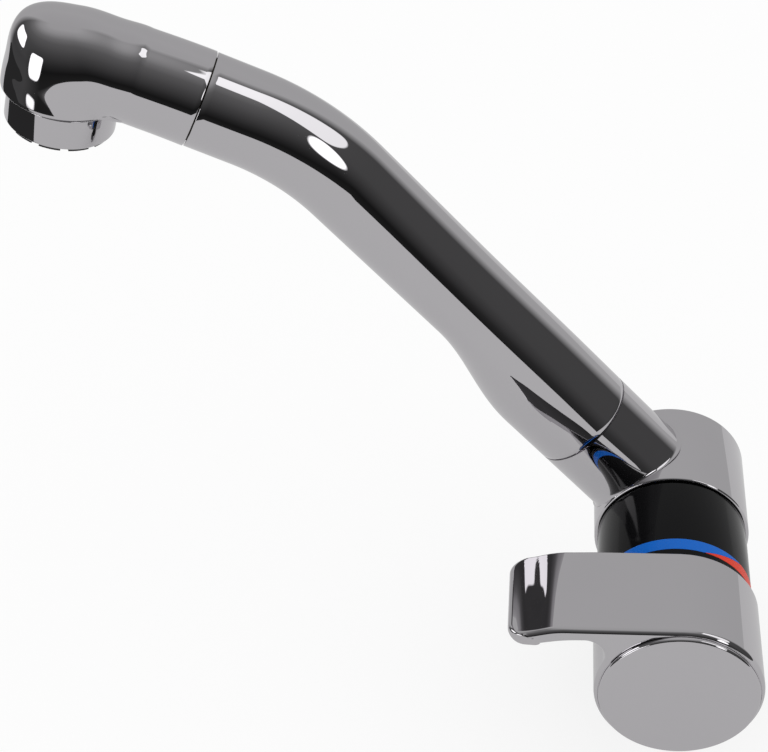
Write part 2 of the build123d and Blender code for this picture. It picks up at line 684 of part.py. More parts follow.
def blade_profile():
    """Outline of the blade across the barrel: a flat top, a dip and a lower lip, with a round tip."""
    dip = (BLADE_TOP + BLADE_TIP_TOP) / 2
    middle = (BLADE_SHOULDER + BLADE_TIP_START) / 2
    tip_low = BLADE_TIP_TOP - BLADE_TIP_THICKNESS
    tip_mid = (BLADE_TIP_TOP + tip_low) / 2
    slope = (BLADE_TOP - BLADE_TIP_TOP) / (BLADE_TIP_START - BLADE_SHOULDER)
    top_dip = Spline(
        (-BLADE_SHOULDER, BLADE_TOP),
        (-middle, dip),
        (-BLADE_TIP_START, BLADE_TIP_TOP),
        tangents=((-1, -0.04), (-1, 0)),
        tangent_scalars=(1, 1),
    )
    nose = Spline(
        (-BLADE_TIP_START, BLADE_TIP_TOP),
        (-BLADE_REACH, tip_mid),
        (-BLADE_TIP_START, tip_low),
        tangents=((-1, 0), (1, 0)),
    )
    root = (-BLADE_ROOT, BLADE_TOP - BLADE_ROOT_DROP)
    under = Spline(
        (-BLADE_TIP_START, tip_low),
        (-BLADE_SHOULDER, BLADE_TOP - BLADE_THICKNESS - slope / 2),
        root,
        tangents=((1, 0), (1, 0)),
    )
    foot_angle = math.radians(BLADE_FOOT_ANGLE)
    foot = (-HANDLE_RADIUS * math.sin(foot_angle), HANDLE_RADIUS * math.cos(foot_angle))
    hollow = Spline(root, foot, tangents=((1, 0), (-math.cos(foot_angle), -math.sin(foot_angle))))
    back = Polyline(foot, (0, 0), (0, HANDLE_RADIUS), (-BLADE_SHOULDER, BLADE_TOP))
    return make_face([top_dip, nose, under, hollow, back])


def blade():
    """Flat blade that leaves the handle's top, as long as the handle, with round corners at its tip."""
    plane = Plane(origin=on_axis(HANDLE_REAR_Y), x_dir=(1, 0, 0), z_dir=(0, -1, 0))
    blank = extrude(plane * blade_profile(), HANDLE_LENGTH - CAP_SEAT_DEPTH)
    y_front = HANDLE_REAR_Y - HANDLE_LENGTH + CAP_SEAT_DEPTH
    plan = Polyline(
        (1, HANDLE_REAR_Y),
        (-BLADE_REACH, HANDLE_REAR_Y - BLADE_TAPER),
        (-BLADE_REACH, y_front + BLADE_TAPER),
        (1, y_front),
        close=True,
    )
    sheet = make_face(plan)
    corners = sheet.vertices().filter_by_position(Axis.X, -BLADE_REACH - 0.1, -BLADE_REACH + 0.1)
    sheet = fillet(corners, BLADE_CORNER)
    column = extrude(Pos(0, 0, AXIS_HEIGHT) * sheet, HANDLE_RADIUS + 1)
    return blank & column


def handle_shell():
    """Chromed cup with its blade, a web with the spindle's boss, and a thin skirt over the dome."""
    body = barrel_rod(HANDLE_RADIUS, HANDLE_FRONT_Y, HANDLE_REAR_Y)
    rim = body.edges().filter_by(GeomType.CIRCLE).sort_by(Axis.Y)[0]
    body = fillet(rim, HANDLE_EDGE)
    body += blade()
    skirt_bore = HANDLE_RADIUS - SKIRT_WALL
    bore = HANDLE_RADIUS - HANDLE_WALL
    body -= barrel_rod(skirt_bore, HANDLE_REAR_Y - SKIRT_LENGTH, HANDLE_REAR_Y)
    body -= barrel_rod(bore, HANDLE_WEB_Y, HANDLE_REAR_Y)
    front_web = HANDLE_WEB_Y - HANDLE_WEB
    body -= barrel_ring(bore, HANDLE_BOSS_RADIUS, HANDLE_FRONT_Y, front_web)
    boss_front = SPINDLE_FRONT_Y - FACE_GAP
    body -= barrel_rod(bore, HANDLE_FRONT_Y, boss_front)
    cap_seat = HANDLE_RADIUS - CAP_LIP + FACE_GAP
    body -= barrel_rod(cap_seat, HANDLE_FRONT_Y, HANDLE_FRONT_Y + CAP_SEAT_DEPTH)
    hole = SPINDLE_SIDE / 2 + THREAD_GAP
    body -= barrel_block(-hole, hole, boss_front, HANDLE_WEB_Y, -hole, hole)
    y = (boss_front + front_web) / 2
    return body - rod(GRUB_RADIUS + THREAD_GAP, on_axis(y), on_axis(y, z=-HANDLE_RADIUS))


def handle_grub_screw():
    """Grub screw that clamps the spindle, reached from under the handle."""
    y = (SPINDLE_FRONT_Y - FACE_GAP + HANDLE_WEB_Y - HANDLE_WEB) / 2
    start = SPINDLE_SIDE / 2 + THREAD_GAP
    screw = rod(GRUB_RADIUS, on_axis(y, z=-start - GRUB_LENGTH), on_axis(y, z=-start))
    foot = Plane(origin=on_axis(y, z=-start - GRUB_LENGTH), z_dir=(0, 0, 1))
    return screw - extrude(foot * RegularPolygon(GRUB_SOCKET_RADIUS, 6), GRUB_SOCKET_DEPTH)


def handle_cap():
    """Flat chromed disc that closes the handle's front."""
    seat = HANDLE_FRONT_Y + CAP_SEAT_DEPTH - FACE_GAP
    face = HANDLE_FRONT_Y - CAP_PROUD
    disc = barrel_rod(HANDLE_RADIUS - CAP_LIP, face, seat)
    rim = disc.edges().filter_by(GeomType.CIRCLE).sort_by(Axis.Y)[0]
    disc = fillet(rim, CAP_EDGE)
    skirt = HANDLE_RADIUS - HANDLE_WALL - CAP_SKIRT_ROOM
    disc += barrel_rod(skirt, seat, seat + CAP_SKIRT_DEPTH)
    return disc - barrel_rod(skirt - CAP_THICKNESS, seat, seat + CAP_SKIRT_DEPTH)


# Spout: the knuckle, its retaining pieces and the tube


def spout_knuckle():
    """Chromed drum that turns on the spigot, with the slanted stub and its nipple."""
    drum = barrel_rod(KNUCKLE_RADIUS, KNUCKLE_FRONT_Y, KNUCKLE_REAR_Y)
    front = drum.edges().filter_by(GeomType.CIRCLE).sort_by(Axis.Y)[0]
    drum = chamfer(front, KNUCKLE_EDGE)
    seam = spout_point(STUB_REACH)
    tip = spout_point(STUB_REACH + NIPPLE_LENGTH)
    drum += rod(STUB_RADIUS, spout_point(0), seam)
    drum += rod(NIPPLE_RADIUS, seam, tip)
    drum -= barrel_rod(SPIGOT_RADIUS + RUNNING_GAP, KNUCKLE_FRONT_Y, POCKET_Y)
    half = CHAMBER_WIDTH / 2
    drum -= barrel_rod(CHAMBER_RADIUS, SPOUT_Y - half, SPOUT_Y + half)
    drum -= barrel_rod(KNUCKLE_POCKET_RADIUS, POCKET_Y, KNUCKLE_REAR_Y)
    floor = barrel_rod(POCKET_FLOOR_RADIUS, POCKET_Y - POCKET_FLOOR, KNUCKLE_REAR_Y)
    drum -= rod(STUB_BORE, spout_point(SPIGOT_RADIUS), tip) - floor
    return drum - o_ring_groove(NIPPLE_RADIUS, spout_point(TUBE_RING_REACH), direction(SPOUT_ANGLE))


def tube_o_ring():
    """Rubber ring that seals the tube on the nipple."""
    return o_ring(NIPPLE_RADIUS, spout_point(TUBE_RING_REACH), direction(SPOUT_ANGLE))


def lock_washer():
    """Thrust washer behind the knuckle."""
    rear = POCKET_Y + LOCK_WASHER_THICKNESS
    return barrel_ring(LOCK_WASHER_RADIUS, STUD_RADIUS + FACE_GAP, POCKET_Y + FACE_GAP, rear)


def lock_nut():
    """Nut that holds the knuckle on its spigot."""
    front = POCKET_Y + LOCK_WASHER_THICKNESS + FACE_GAP
    bore = STUD_RADIUS + THREAD_GAP
    return hexagon(LOCK_NUT_ACROSS_FLATS, bore, on_axis(front), on_axis(front + LOCK_NUT_THICKNESS))


def end_cap():
    """Chromed disc that closes the knuckle's far end."""
    y = KNUCKLE_REAR_Y - END_CAP_THICKNESS
    return barrel_rod(KNUCKLE_POCKET_RADIUS - THREAD_GAP, y, KNUCKLE_REAR_Y)


def spout_tube():
    """Chromed tube: round collar, swell that narrows to the pipe, bend and upper leg."""
    foot = spout_point(STUB_REACH + SEAM_GAP)
    tube = rod(STUB_RADIUS, foot, spout_point(SWELL_START))
    sections = []
    for i in range(SWELL_STEPS + 1):
        t = i / SWELL_STEPS
        reach = SWELL_START + (SWELL_END - SWELL_START) * t
        radius = STUB_RADIUS + (TUBE_RADIUS - STUB_RADIUS) * smooth(t)
        centre = spout_point(reach, TUBE_RISE * smooth(t))
        sections.append(circle_at(centre, direction(SPOUT_ANGLE), radius))
    tube += loft(sections)
    tube += bent_rod(TUBE_RADIUS, spout_point(SWELL_END, TUBE_RISE), HEAD_SEAM)
    socket_end = STUB_REACH + NIPPLE_LENGTH + SOCKET_ROOM
    tube -= bent_rod(TUBE_BORE, spout_point(socket_end, TUBE_RISE), HEAD_SEAM)
    return tube - rod(NIPPLE_RADIUS + THREAD_GAP, foot, spout_point(socket_end + 0.5))


def tube_grub_screw():
    """Grub screw that locks the tube on its nipple, from below."""
    inner = spout_point(TUBE_SCREW_REACH, -NIPPLE_RADIUS - THREAD_GAP)
    outer = spout_point(TUBE_SCREW_REACH, -STUB_RADIUS + TUBE_SCREW_DEPTH)
    return rod(GRUB_RADIUS, inner, outer)


def tube_screw_hole():
    """Threaded hole for the tube's grub screw."""
    inner = spout_point(TUBE_SCREW_REACH, -NIPPLE_RADIUS + 1)
    outer = spout_point(TUBE_SCREW_REACH, -STUB_RADIUS - 1)
    return rod(GRUB_RADIUS + THREAD_GAP, inner, outer)


# Head: elbow, nozzle ring and aerator, which turn on the tube's end


def oval(half_width, half_height):
    """Closed smooth curve through points of an ellipse, filled in."""
    points = []
    for i in range(OVAL_POINTS):
        a = 2 * math.pi * i / OVAL_POINTS
        points.append((half_width * math.cos(a), half_height * math.sin(a)))
    return make_face(Spline(*points, periodic=True))


def elbow():
    """Straight neck and elbow, whose sections fan about the point inside its bend."""
    pivot = ELBOW_START - across(direction(HEAD_ANGLE)) * HEAD_ROOM
    last = len(ELBOW_HEIGHTS) - 1
    sections = []
    for i, (height, half_width) in enumerate(zip(ELBOW_HEIGHTS, ELBOW_HALF_WIDTHS)):
        along = direction(HEAD_ANGLE - ELBOW_TURN * i / last)
        centre = pivot + across(along) * (ELBOW_GAP + height / 2)
        plane = Plane(origin=centre, x_dir=(0, 1, 0), z_dir=along)
        sections.append(plane * oval(half_width, height / 2))
    straight = (ELBOW_START - HEAD_SEAM).length - SEAM_GAP
    neck = extrude(sections[0], -straight)
    split = len(sections) // 2 - 1
    return neck + loft(sections[: split + 1]) + loft(sections[split:])


def below_nozzle_seam():
    """Room for the nozzle ring under the elbow."""
    side = across(NOZZLE_DIRECTION)
    start = -NOZZLE_ROOM
    size = 4 * NOZZLE_ROOM
    plane = Plane(origin=NOZZLE_SEAM + side * start, x_dir=side, z_dir=NOZZLE_DIRECTION)
    return plane * Box(size, size, size, align=(Align.MIN, Align.CENTER, Align.MIN))


def spout_head():
    """Chromed elbow with drilled ways, a nipple's seat and a bore for the nozzle ring."""
    along = direction(HEAD_ANGLE)
    start = HEAD_SEAM + along * SEAM_GAP
    head = elbow() - below_nozzle_seam()
    head -= rod(HEAD_BORE, start, ELBOW_CORNER)
    head -= Pos(*ELBOW_CORNER) * Sphere(HEAD_BORE_BALL)
    head -= rod(HEAD_BORE, ELBOW_CORNER, NOZZLE_SEAM)
    head -= rod(NIPPLE_SEAT_RADIUS, start, HEAD_SEAM + along * HEAD_SEAT_DEPTH)
    thread_top = NOZZLE_SEAM - NOZZLE_DIRECTION * (NOZZLE_THREAD_LENGTH + FACE_GAP)
    return head - rod(NOZZLE_THREAD_RADIUS + THREAD_GAP, thread_top, NOZZLE_SEAM)


def head_nipple():
    """Brass nipple pressed into the head, which turns in the tube's end."""
    along = direction(HEAD_ANGLE)
    seam = HEAD_SEAM + along * SEAM_GAP
    back = HEAD_SEAM - along * HEAD_NIPPLE_LENGTH
    end = HEAD_SEAM + along * (HEAD_SEAT_DEPTH - FACE_GAP)
    nipple = rod(TUBE_BORE - RUNNING_GAP, back, seam) + rod(NIPPLE_SEAT_RADIUS - THREAD_GAP, seam, end)
    return nipple - rod(HEAD_BORE, back, end)


def nozzle_ring():
    """Chromed collar that screws into the head and holds the aerator."""
    top = NOZZLE_SEAM + NOZZLE_DIRECTION * FACE_GAP
    collar = rod(NOZZLE_RADIUS, top, NOZZLE_END)
    edge = collar.edges().filter_by(GeomType.CIRCLE).sort_by(Axis.Z)[0]
    collar = fillet(edge, NOZZLE_EDGE)
    thread_top = NOZZLE_SEAM - NOZZLE_DIRECTION * NOZZLE_THREAD_LENGTH
    collar += rod(NOZZLE_THREAD_RADIUS, thread_top, top)
    collar -= rod(NOZZLE_BORE, thread_top, NOZZLE_END)
    rim_top = NOZZLE_END - NOZZLE_DIRECTION * NOZZLE_RIM_ROOM
    return collar - rod(AERATOR_RIM_RADIUS + FACE_GAP, rim_top, NOZZLE_END)


def aerator_body():
    """Black plastic insert that screws in from below, with a castellated rim and a floor of holes."""
    low = NOZZLE_END + NOZZLE_DIRECTION * AERATOR_PROUD
    shoulder = NOZZLE_END - NOZZLE_DIRECTION * (NOZZLE_RIM_ROOM - FACE_GAP)
    top = low - NOZZLE_DIRECTION * AERATOR_HEIGHT
    body = rod(AERATOR_RIM_RADIUS, low, shoulder) + rod(NOZZLE_BORE - THREAD_GAP, shoulder, top)
    inner = NOZZLE_BORE - AERATOR_WALL
    floor = low - NOZZLE_DIRECTION * AERATOR_FLOOR_DEPTH
    body -= rod(AERATOR_RIM_RADIUS - AERATOR_RIM_WALL, low, floor)
    body -= rod(inner, floor - NOZZLE_DIRECTION * AERATOR_FLOOR, top)
    plane = Plane(origin=low, x_dir=(0, 1, 0), z_dir=-NOZZLE_DIRECTION)
    reach = 2 * AERATOR_RIM_RADIUS
    depth = 2 * AERATOR_TAB_DEPTH
    for i in range(AERATOR_TAB_COUNT):
        slot = Box(reach, AERATOR_TAB_GAP, depth, align=(Align.MIN, Align.CENTER, Align.CENTER))
        body -= plane * (Rot(0, 0, 360 * i / AERATOR_TAB_COUNT) * slot)
    for ring_number in range(AERATOR_HOLE_RINGS + 1):
        count = max(1, 6 * ring_number)
        for i in range(count):
            place = Rot(0, 0, 360 * i / count) * Pos(ring_number * AERATOR_HOLE_SPACING, 0, 0)
            body -= plane * (place * Cylinder(AERATOR_HOLE_RADIUS, AERATOR_HEIGHT))
    return body


def aerator_screen():
    """Fine steel screen above the aerator's floor."""
    low = NOZZLE_END + NOZZLE_DIRECTION * AERATOR_PROUD
    seat = low - NOZZLE_DIRECTION * (AERATOR_FLOOR_DEPTH + AERATOR_FLOOR + FACE_GAP)
    radius = NOZZLE_BORE - AERATOR_WALL - FACE_GAP
    return rod(radius, seat, seat - NOZZLE_DIRECTION * AERATOR_SCREEN_THICKNESS)


def aerator_washer():
    """Rubber washer between the aerator and the head."""
    top_of_body = NOZZLE_END + NOZZLE_DIRECTION * (AERATOR_PROUD - AERATOR_HEIGHT - FACE_GAP)
    top = top_of_body - NOZZLE_DIRECTION * AERATOR_WASHER_THICKNESS
    return ring(NOZZLE_BORE - FACE_GAP, NOZZLE_BORE - AERATOR_WASHER_WIDTH, top_of_body, top)


def build():
    """Every node by name."""
    return {
        "base_flange": base_flange(),
        "base_gasket": base_gasket(),
        "threaded_shank": threaded_shank(),
        "swivel_bush": swivel_bush(),
        "rubber_washer": rubber_washer(),
        "steel_washer": steel_washer(),
        "shank_nut": shank_nut(),
        "body_shell": body_shell(),
        "cold_band": cold_band(),
        "hot_band": hot_band(),
        "valve_core": valve_core(),
        "spigot_o_rings": Compound(children=spigot_o_rings()),
        "foot_clip": foot_clip(),
        "cold_tail": inlet_tail(-1),
        "hot_tail": inlet_tail(1),
        "cartridge_seals": Compound(children=cartridge_seals()),
        "cartridge_base": cartridge_base(),
        "fixed_disc": fixed_disc(),
        "cartridge_housing": cartridge_housing(),
        "cartridge_nut": cartridge_nut(),
        "cartridge_cover": cartridge_cover(),
        "cartridge_carrier": cartridge_carrier(),
        "pivot_pin": pivot_pin(),
        "moving_disc": moving_disc(),
        "lever_spindle": lever_spindle(),
        "handle_shell": handle_shell(),
        "handle_grub_screw": handle_grub_screw(),
        "handle_cap": handle_cap(),
        "spout_knuckle": spout_knuckle(),
        "lock_washer": lock_washer(),
        "lock_nut": lock_nut(),
        "end_cap": end_cap(),
        "spout_tube": spout_tube() - tube_screw_hole(),
        "tube_o_ring": tube_o_ring(),
        "tube_grub_screw": tube_grub_screw(),
        "spout_head": spout_head(),
        "head_nipple": head_nipple(),
        "nozzle_ring": nozzle_ring(),
        "aerator_body": aerator_body(),
        "aerator_screen": aerator_screen(),
        "aerator_washer": aerator_washer(),
    }


os.makedirs("parts", exist_ok=True)
for name, piece in build().items():
    export_step(piece, f"parts/{name}.step")
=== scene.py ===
"""Looks of a single lever mixer tap with a level barrel and a fold-down spout.

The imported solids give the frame. The polished and glossy pieces that show are
built again here as fine, smooth meshes on the same sizes, and every other
solid keeps its shape and gets a material of its own.
"""

import json
import logging
import math
from dataclasses import dataclass, field
from enum import Enum
from typing import Callable, Iterable, Sequence
import bmesh
import bpy
import numpy as np
from mathutils import Matrix, Vector
from mathutils.geometry import delaunay_2d_cdt


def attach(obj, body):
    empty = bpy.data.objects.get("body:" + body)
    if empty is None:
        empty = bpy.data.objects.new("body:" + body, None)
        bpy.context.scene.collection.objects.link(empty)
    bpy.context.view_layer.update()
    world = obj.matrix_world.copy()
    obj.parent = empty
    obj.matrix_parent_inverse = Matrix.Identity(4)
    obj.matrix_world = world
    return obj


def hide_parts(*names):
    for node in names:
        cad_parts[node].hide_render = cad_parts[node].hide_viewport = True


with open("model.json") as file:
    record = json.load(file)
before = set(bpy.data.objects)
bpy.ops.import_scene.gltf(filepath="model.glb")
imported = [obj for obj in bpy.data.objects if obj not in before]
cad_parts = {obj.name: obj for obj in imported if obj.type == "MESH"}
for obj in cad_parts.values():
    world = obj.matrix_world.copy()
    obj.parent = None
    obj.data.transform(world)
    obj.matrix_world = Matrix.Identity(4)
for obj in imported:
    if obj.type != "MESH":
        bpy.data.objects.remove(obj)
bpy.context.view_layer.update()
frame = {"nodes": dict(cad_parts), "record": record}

LOG = logging.getLogger("mixer_tap")
MM = 0.001
TAU = 2.0 * math.pi

Triple = tuple[float, float, float]
Colour = Triple
Point = tuple[float, float]
WHITE: Colour = (1.0, 1.0, 1.0)
EVEN: Triple = (1.0, 1.0, 1.0)


class Body(Enum):
    """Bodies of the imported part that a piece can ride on."""

    BASE = "base"
    MIDDLE = "body"
    SPOUT = "spout"
    HEAD = "head"
    LEVER = "lever"


class Slot(Enum):
    """Material slots of the record, passed with the new pieces."""

    CHROME = "chrome"
    BLACK = "black"
    BLUE = "blue"
    RED = "red"


# Shader nodes


class Value:
    """A number socket of a node tree that takes Python's operators."""

    def __init__(self, nodes: "Nodes", socket: bpy.types.NodeSocket) -> None:
        """Wrap a socket of the given nodes."""
        self.nodes = nodes
        self.socket = socket

    def _with(self, operation: str, first: object, second: object) -> "Value":
        """Join two operands by one Math node."""
        return self.nodes.value("ShaderNodeMath", {"operation": operation}, {0: first, 1: second})

    def __add__(self, other: object) -> "Value":
        """Return self + other."""
        return self._with("ADD", self, other)

    def __radd__(self, other: object) -> "Value":
        """Return other + self."""
        return self._with("ADD", other, self)

    def __sub__(self, other: object) -> "Value":
        """Return self - other."""
        return self._with("SUBTRACT", self, other)

    def __rsub__(self, other: object) -> "Value":
        """Return other - self."""
        return self._with("SUBTRACT", other, self)

    def __mul__(self, other: object) -> "Value":
        """Return self * other."""
        return self._with("MULTIPLY", self, other)

    def __rmul__(self, other: object) -> "Value":
        """Return other * self."""
        return self._with("MULTIPLY", other, self)

    def __truediv__(self, other: object) -> "Value":
        """Return self / other."""
        return self._with("DIVIDE", self, other)

    def __rtruediv__(self, other: object) -> "Value":
        """Return other / self."""
        return self._with("DIVIDE", other, self)

    def __pow__(self, other: object) -> "Value":
        """Return self raised to other."""
        return self._with("POWER", self, other)

    def __rpow__(self, other: object) -> "Value":
        """Return other raised to self."""
        return self._with("POWER", other, self)

    def __abs__(self) -> "Value":
        """Return the size of the value without its sign."""
        return self._with("ABSOLUTE", self, 0.0)

    def clipped(self) -> "Value":
        """Return the value held between 0 and 1."""
        return self.nodes.value("ShaderNodeMath", {"operation": "ADD", "use_clamp": True}, {0: self, 1: 0.0})

    def ramp(self, low: float, high: float) -> "Value":
        """Return 0 below low, 1 above high and a straight rise between them."""
        return ((self - low) * (1.0 / (high - low))).clipped()


class Nodes:
    """A material's or world's node tree that is built from Python calls."""

    def __init__(self, tree: bpy.types.NodeTree) -> None:
        """Empty the tree and keep it."""
        self.tree = tree
        tree.nodes.clear()

    def add(
        self,
        kind: str,
        settings: dict[str, object] | None = None,
        inputs: dict[object, object] | None = None,
    ) -> bpy.types.Node:
        """Add one node.

        Args:
            kind: The node's type, as Blender names it.
            settings: Its own properties; "stops" holds a ramp's stops.
            inputs: Values or links of its sockets, by name or place.

        Returns:
            The new node.
        """
        node = self.tree.nodes.new(kind)
        for name, setting in (settings or {}).items():
            if name == "stops":
                self._set_stops(node.color_ramp, setting)
            else:
                setattr(node, name, setting)
        for name, source in (inputs or {}).items():
            self._feed(node.inputs[name], source)
        return node

    def _feed(self, socket: bpy.types.NodeSocket, source: object) -> None:
        """Link a socket to a source, or set its value.

        Args:
            socket: The socket of the new node.
            source: A value, another socket, a colour or a number.
        """
        if isinstance(source, Value):
            source = source.socket
        if isinstance(source, bpy.types.NodeSocket):
            self.tree.links.new(source, socket)
        elif socket.type == "RGBA" and len(source) == 3:
            socket.default_value = (*source, 1.0)
        else:
            socket.default_value = source

    @staticmethod
    def _set_stops(ramp: bpy.types.ColorRamp, stops: Sequence[tuple[float, Colour]]) -> None:
        """Give a ramp its stops.

        Args:
            ramp: The ramp of the new node.
            stops: The place and colour of each stop.
        """
        while len(ramp.elements) < len(stops):
            ramp.elements.new(0.5)
        for element, (place, colour) in zip(ramp.elements, stops):
            element.position = place
            element.color = (*colour, 1.0)

    def value(
        self,
        kind: str,
        settings: dict[str, object] | None = None,
        inputs: dict[object, object] | None = None,
        output: object = 0,
    ) -> Value:
        """Add one node and return one of its outputs, ready for Python's operators."""
        return Value(self, self.add(kind, settings, inputs).outputs[output])

    def noise(self, waves: float, detail: float, stretch: Triple = EVEN) -> Value:
        """Make soft noise in the object's own coordinates.

        Args:
            waves: How many fit in a metre.
            detail: How many finer layers are added.
            stretch: What the coordinates are scaled by.

        Returns:
            The noise, from 0 to 1.
        """
        where = self.add("ShaderNodeTexCoord").outputs["Object"]
        place = self.add("ShaderNodeMapping", {}, {"Vector": where, "Scale": stretch}).outputs[0]
        inputs = {"Vector": place, "Scale": waves, "Detail": detail}
        return self.value("ShaderNodeTexNoise", {}, inputs, "Fac")

    def blend(self, factor: object, first: object, second: object) -> bpy.types.NodeSocket:
        """Return a colour between two colours."""
        inputs = {"Factor": factor, 6: first, 7: second}
        return self.add("ShaderNodeMix", {"data_type": "RGBA"}, inputs).outputs[2]

    def bump(self, height: Value, depth: float) -> bpy.types.NodeSocket:
        """Return a normal that follows a height, depth metres deep."""
        return self.add("ShaderNodeBump", {}, {"Height": height, "Distance": depth}).outputs["Normal"]

    def glow(self, level: float) -> bpy.types.NodeSocket:
        """Return a white light of the given level."""
        return self.add("ShaderNodeEmission", {}, {"Color": WHITE, "Strength": level}).outputs[0]

    def surface(self, shader: bpy.types.NodeSocket) -> None:
        """Make a shader the material's surface."""
        self.add("ShaderNodeOutputMaterial", {}, {"Surface": shader})


def new_material(name: str) -> tuple[bpy.types.Material, Nodes]:
    """Make a material.

    Args:
        name: The material's name.

    Returns:
        The material and its empty node tree.
    """
    made = bpy.data.materials.new(name)
    made.use_nodes = True
    return made, Nodes(made.node_tree)


@dataclass(frozen=True)
class Finish:
    """A surface finish, made of one principled shader."""

    name: str
    colour: Colour
    roughness: float

    def darker(self, share: float) -> Colour:
        """Return the colour scaled by a share."""
        return tuple(share * c for c in self.colour)

    def sockets(self, nodes: Nodes) -> dict[str, object]:
        """Return the shader's sockets that this finish sets."""
        return {"Base Color": self.colour, "Roughness": self.roughness}

    def material(self) -> bpy.types.Material:
        """Make the finish's material once.

        Returns:
            The material, which all pieces of this finish share.
        """
        made = bpy.data.materials.get(self.name)
        if made is None:
            made, nodes = new_material(self.name)
            made.diffuse_color = (*self.colour, 1.0)
            nodes.surface(nodes.add("ShaderNodeBsdfPrincipled", {}, self.sockets(nodes)).outputs[0])
        return made


@dataclass(frozen=True)
class Chrome(Finish):
    """Bright plating over polished metal, with faint wipe marks."""

    haze: float = 0.03
    ripple: float = 2.0e-6
    wipe_waves: float = 60.0
    wipe_stretch: Triple = (1.0, 1.0, 0.35)
    wipe_share: float = 0.5
    wipe_shade: float = 0.94
    speck_waves: float = 900.0
    ripple_waves: float = 140.0

    def sockets(self, nodes: Nodes) -> dict[str, object]:
        """Describe a mirror whose roughness and level wander a little.

        Args:
            nodes: The material's nodes.

        Returns:
            The shader's sockets and what feeds them.
        """
        wipes = nodes.noise(self.wipe_waves, 5.0, self.wipe_stretch)
        specks = nodes.noise(self.speck_waves, 2.0)
        tone = nodes.blend(wipes * self.wipe_share, self.colour, self.darker(self.wipe_shade))
        return {
            "Base Color": tone,
            "Metallic": 1.0,
            "Roughness": self.roughness + wipes * self.haze * specks,
            "Normal": nodes.bump(nodes.noise(self.ripple_waves, 2.0), self.ripple),
        }


@dataclass(frozen=True)
class Metal(Finish):
    """Turned or drawn bare metal with fine lines round one axis."""

    lines: float = 2400.0
    depth: float = 8.0e-6
    stretch: Triple = (0.05, 0.05, 1.0)
    patch_waves: float = 70.0
    patch_from: Point = (0.35, 0.75)
    patch_shade: float = 0.72
    patch_rough: float = 0.12
    line_rough: float = 0.08

    def sockets(self, nodes: Nodes) -> dict[str, object]:
        """Describe a metal with tool marks, dull patches and a wandering colour.

        Args:
            nodes: The material's nodes.

        Returns:
            The shader's sockets and what feeds them.
        """
        marks = nodes.noise(self.lines, 3.0, self.stretch)
        patches = nodes.noise(self.patch_waves, 4.0)
        dull = self.darker(self.patch_shade)
        return {
            "Base Color": nodes.blend(patches.ramp(*self.patch_from), self.colour, dull),
            "Metallic": 1.0,
            "Roughness": self.roughness + patches * self.patch_rough + marks * self.line_rough,
            "Normal": nodes.bump(marks, self.depth),
        }


@dataclass(frozen=True)
class Plastic(Finish):
    """Moulded plastic or glaze with a faint orange peel."""

    shine: float = 0.5
    grain: float = 500.0
    depth: float = 4.0e-6
    spread: float = 0.25
    cloud_waves: float = 45.0
    cloud_rough: float = 0.25

    def sockets(self, nodes: Nodes) -> dict[str, object]:
        """Describe a plastic with a wandering colour and grain.

        Args:
            nodes: The material's nodes.

        Returns:
            The shader's sockets and what feeds them.
        """
        peel = nodes.noise(self.grain, 3.0)
        cloud = nodes.noise(self.cloud_waves, 3.0)
        return {
            "Base Color": nodes.blend(cloud, self.colour, self.darker(1.0 - self.spread)),
            "Roughness": self.roughness + cloud * self.cloud_rough * self.roughness,
            "Normal": nodes.bump(peel, self.depth),
            "Specular IOR Level": self.shine,
        }


@dataclass(frozen=True)
class Rubber(Plastic):
    """Matt moulded rubber with dusty patches."""

    dust: Colour = (0.11, 0.105, 0.10)
    dust_waves: float = 320.0
    dust_from: Point = (0.45, 0.8)
    dust_share: float = 0.35

    def sockets(self, nodes: Nodes) -> dict[str, object]:
        """Describe a rubber with pale dust in its grain.

        Args:
            nodes: The material's nodes.

        Returns:
            The shader's sockets and what feeds them.
        """
        found = super().sockets(nodes)
        share = nodes.noise(self.dust_waves, 6.0).ramp(*self.dust_from) * self.dust_share
        found["Base Color"] = nodes.blend(share, self.colour, self.dust)
        return found


CHROME = Chrome("bright_chrome", (0.615, 0.600, 0.622), 0.012)
GLOSS_BLACK = Plastic("gloss_black", (0.004, 0.004, 0.0045), 0.1, shine=0.12, depth=1.0e-6)
BAND_BLUE = Plastic("band_blue", (0.004, 0.125, 0.55), 0.3, shine=0.15, spread=0.12)
BAND_RED = Plastic("band_red", (0.72, 0.045, 0.018), 0.3, shine=0.15, spread=0.12)
NOZZLE_BLACK = Plastic("nozzle_black", (0.012, 0.012, 0.013), 0.35, depth=1.2e-5)
BRASS = Metal("turned_brass", (0.72, 0.52, 0.24), 0.24)
# Brass darkened as painted shade, for the nipple seen in the seam between tube and head.
SEAM_SHADED_BRASS = Metal("seam_shaded_brass", (0.10, 0.085, 0.06), 0.45)
COPPER = Metal("drawn_copper", (0.78, 0.40, 0.26), 0.26, stretch=(1.0, 1.0, 0.03))
STEEL = Metal("plain_steel", (0.58, 0.58, 0.60), 0.28)
RUBBER = Rubber("seal_rubber", (0.018, 0.018, 0.019), 0.7, grain=900.0, depth=2.0e-5)
CERAMIC = Plastic("lapped_ceramic", (0.84, 0.82, 0.77), 0.18, spread=0.05)
GREY_PLASTIC = Plastic("grey_plastic", (0.26, 0.27, 0.29), 0.45, depth=1.0e-5)
WHITE_PLASTIC = Plastic("white_plastic", (0.78, 0.78, 0.76), 0.42, depth=1.0e-5, spread=0.06)

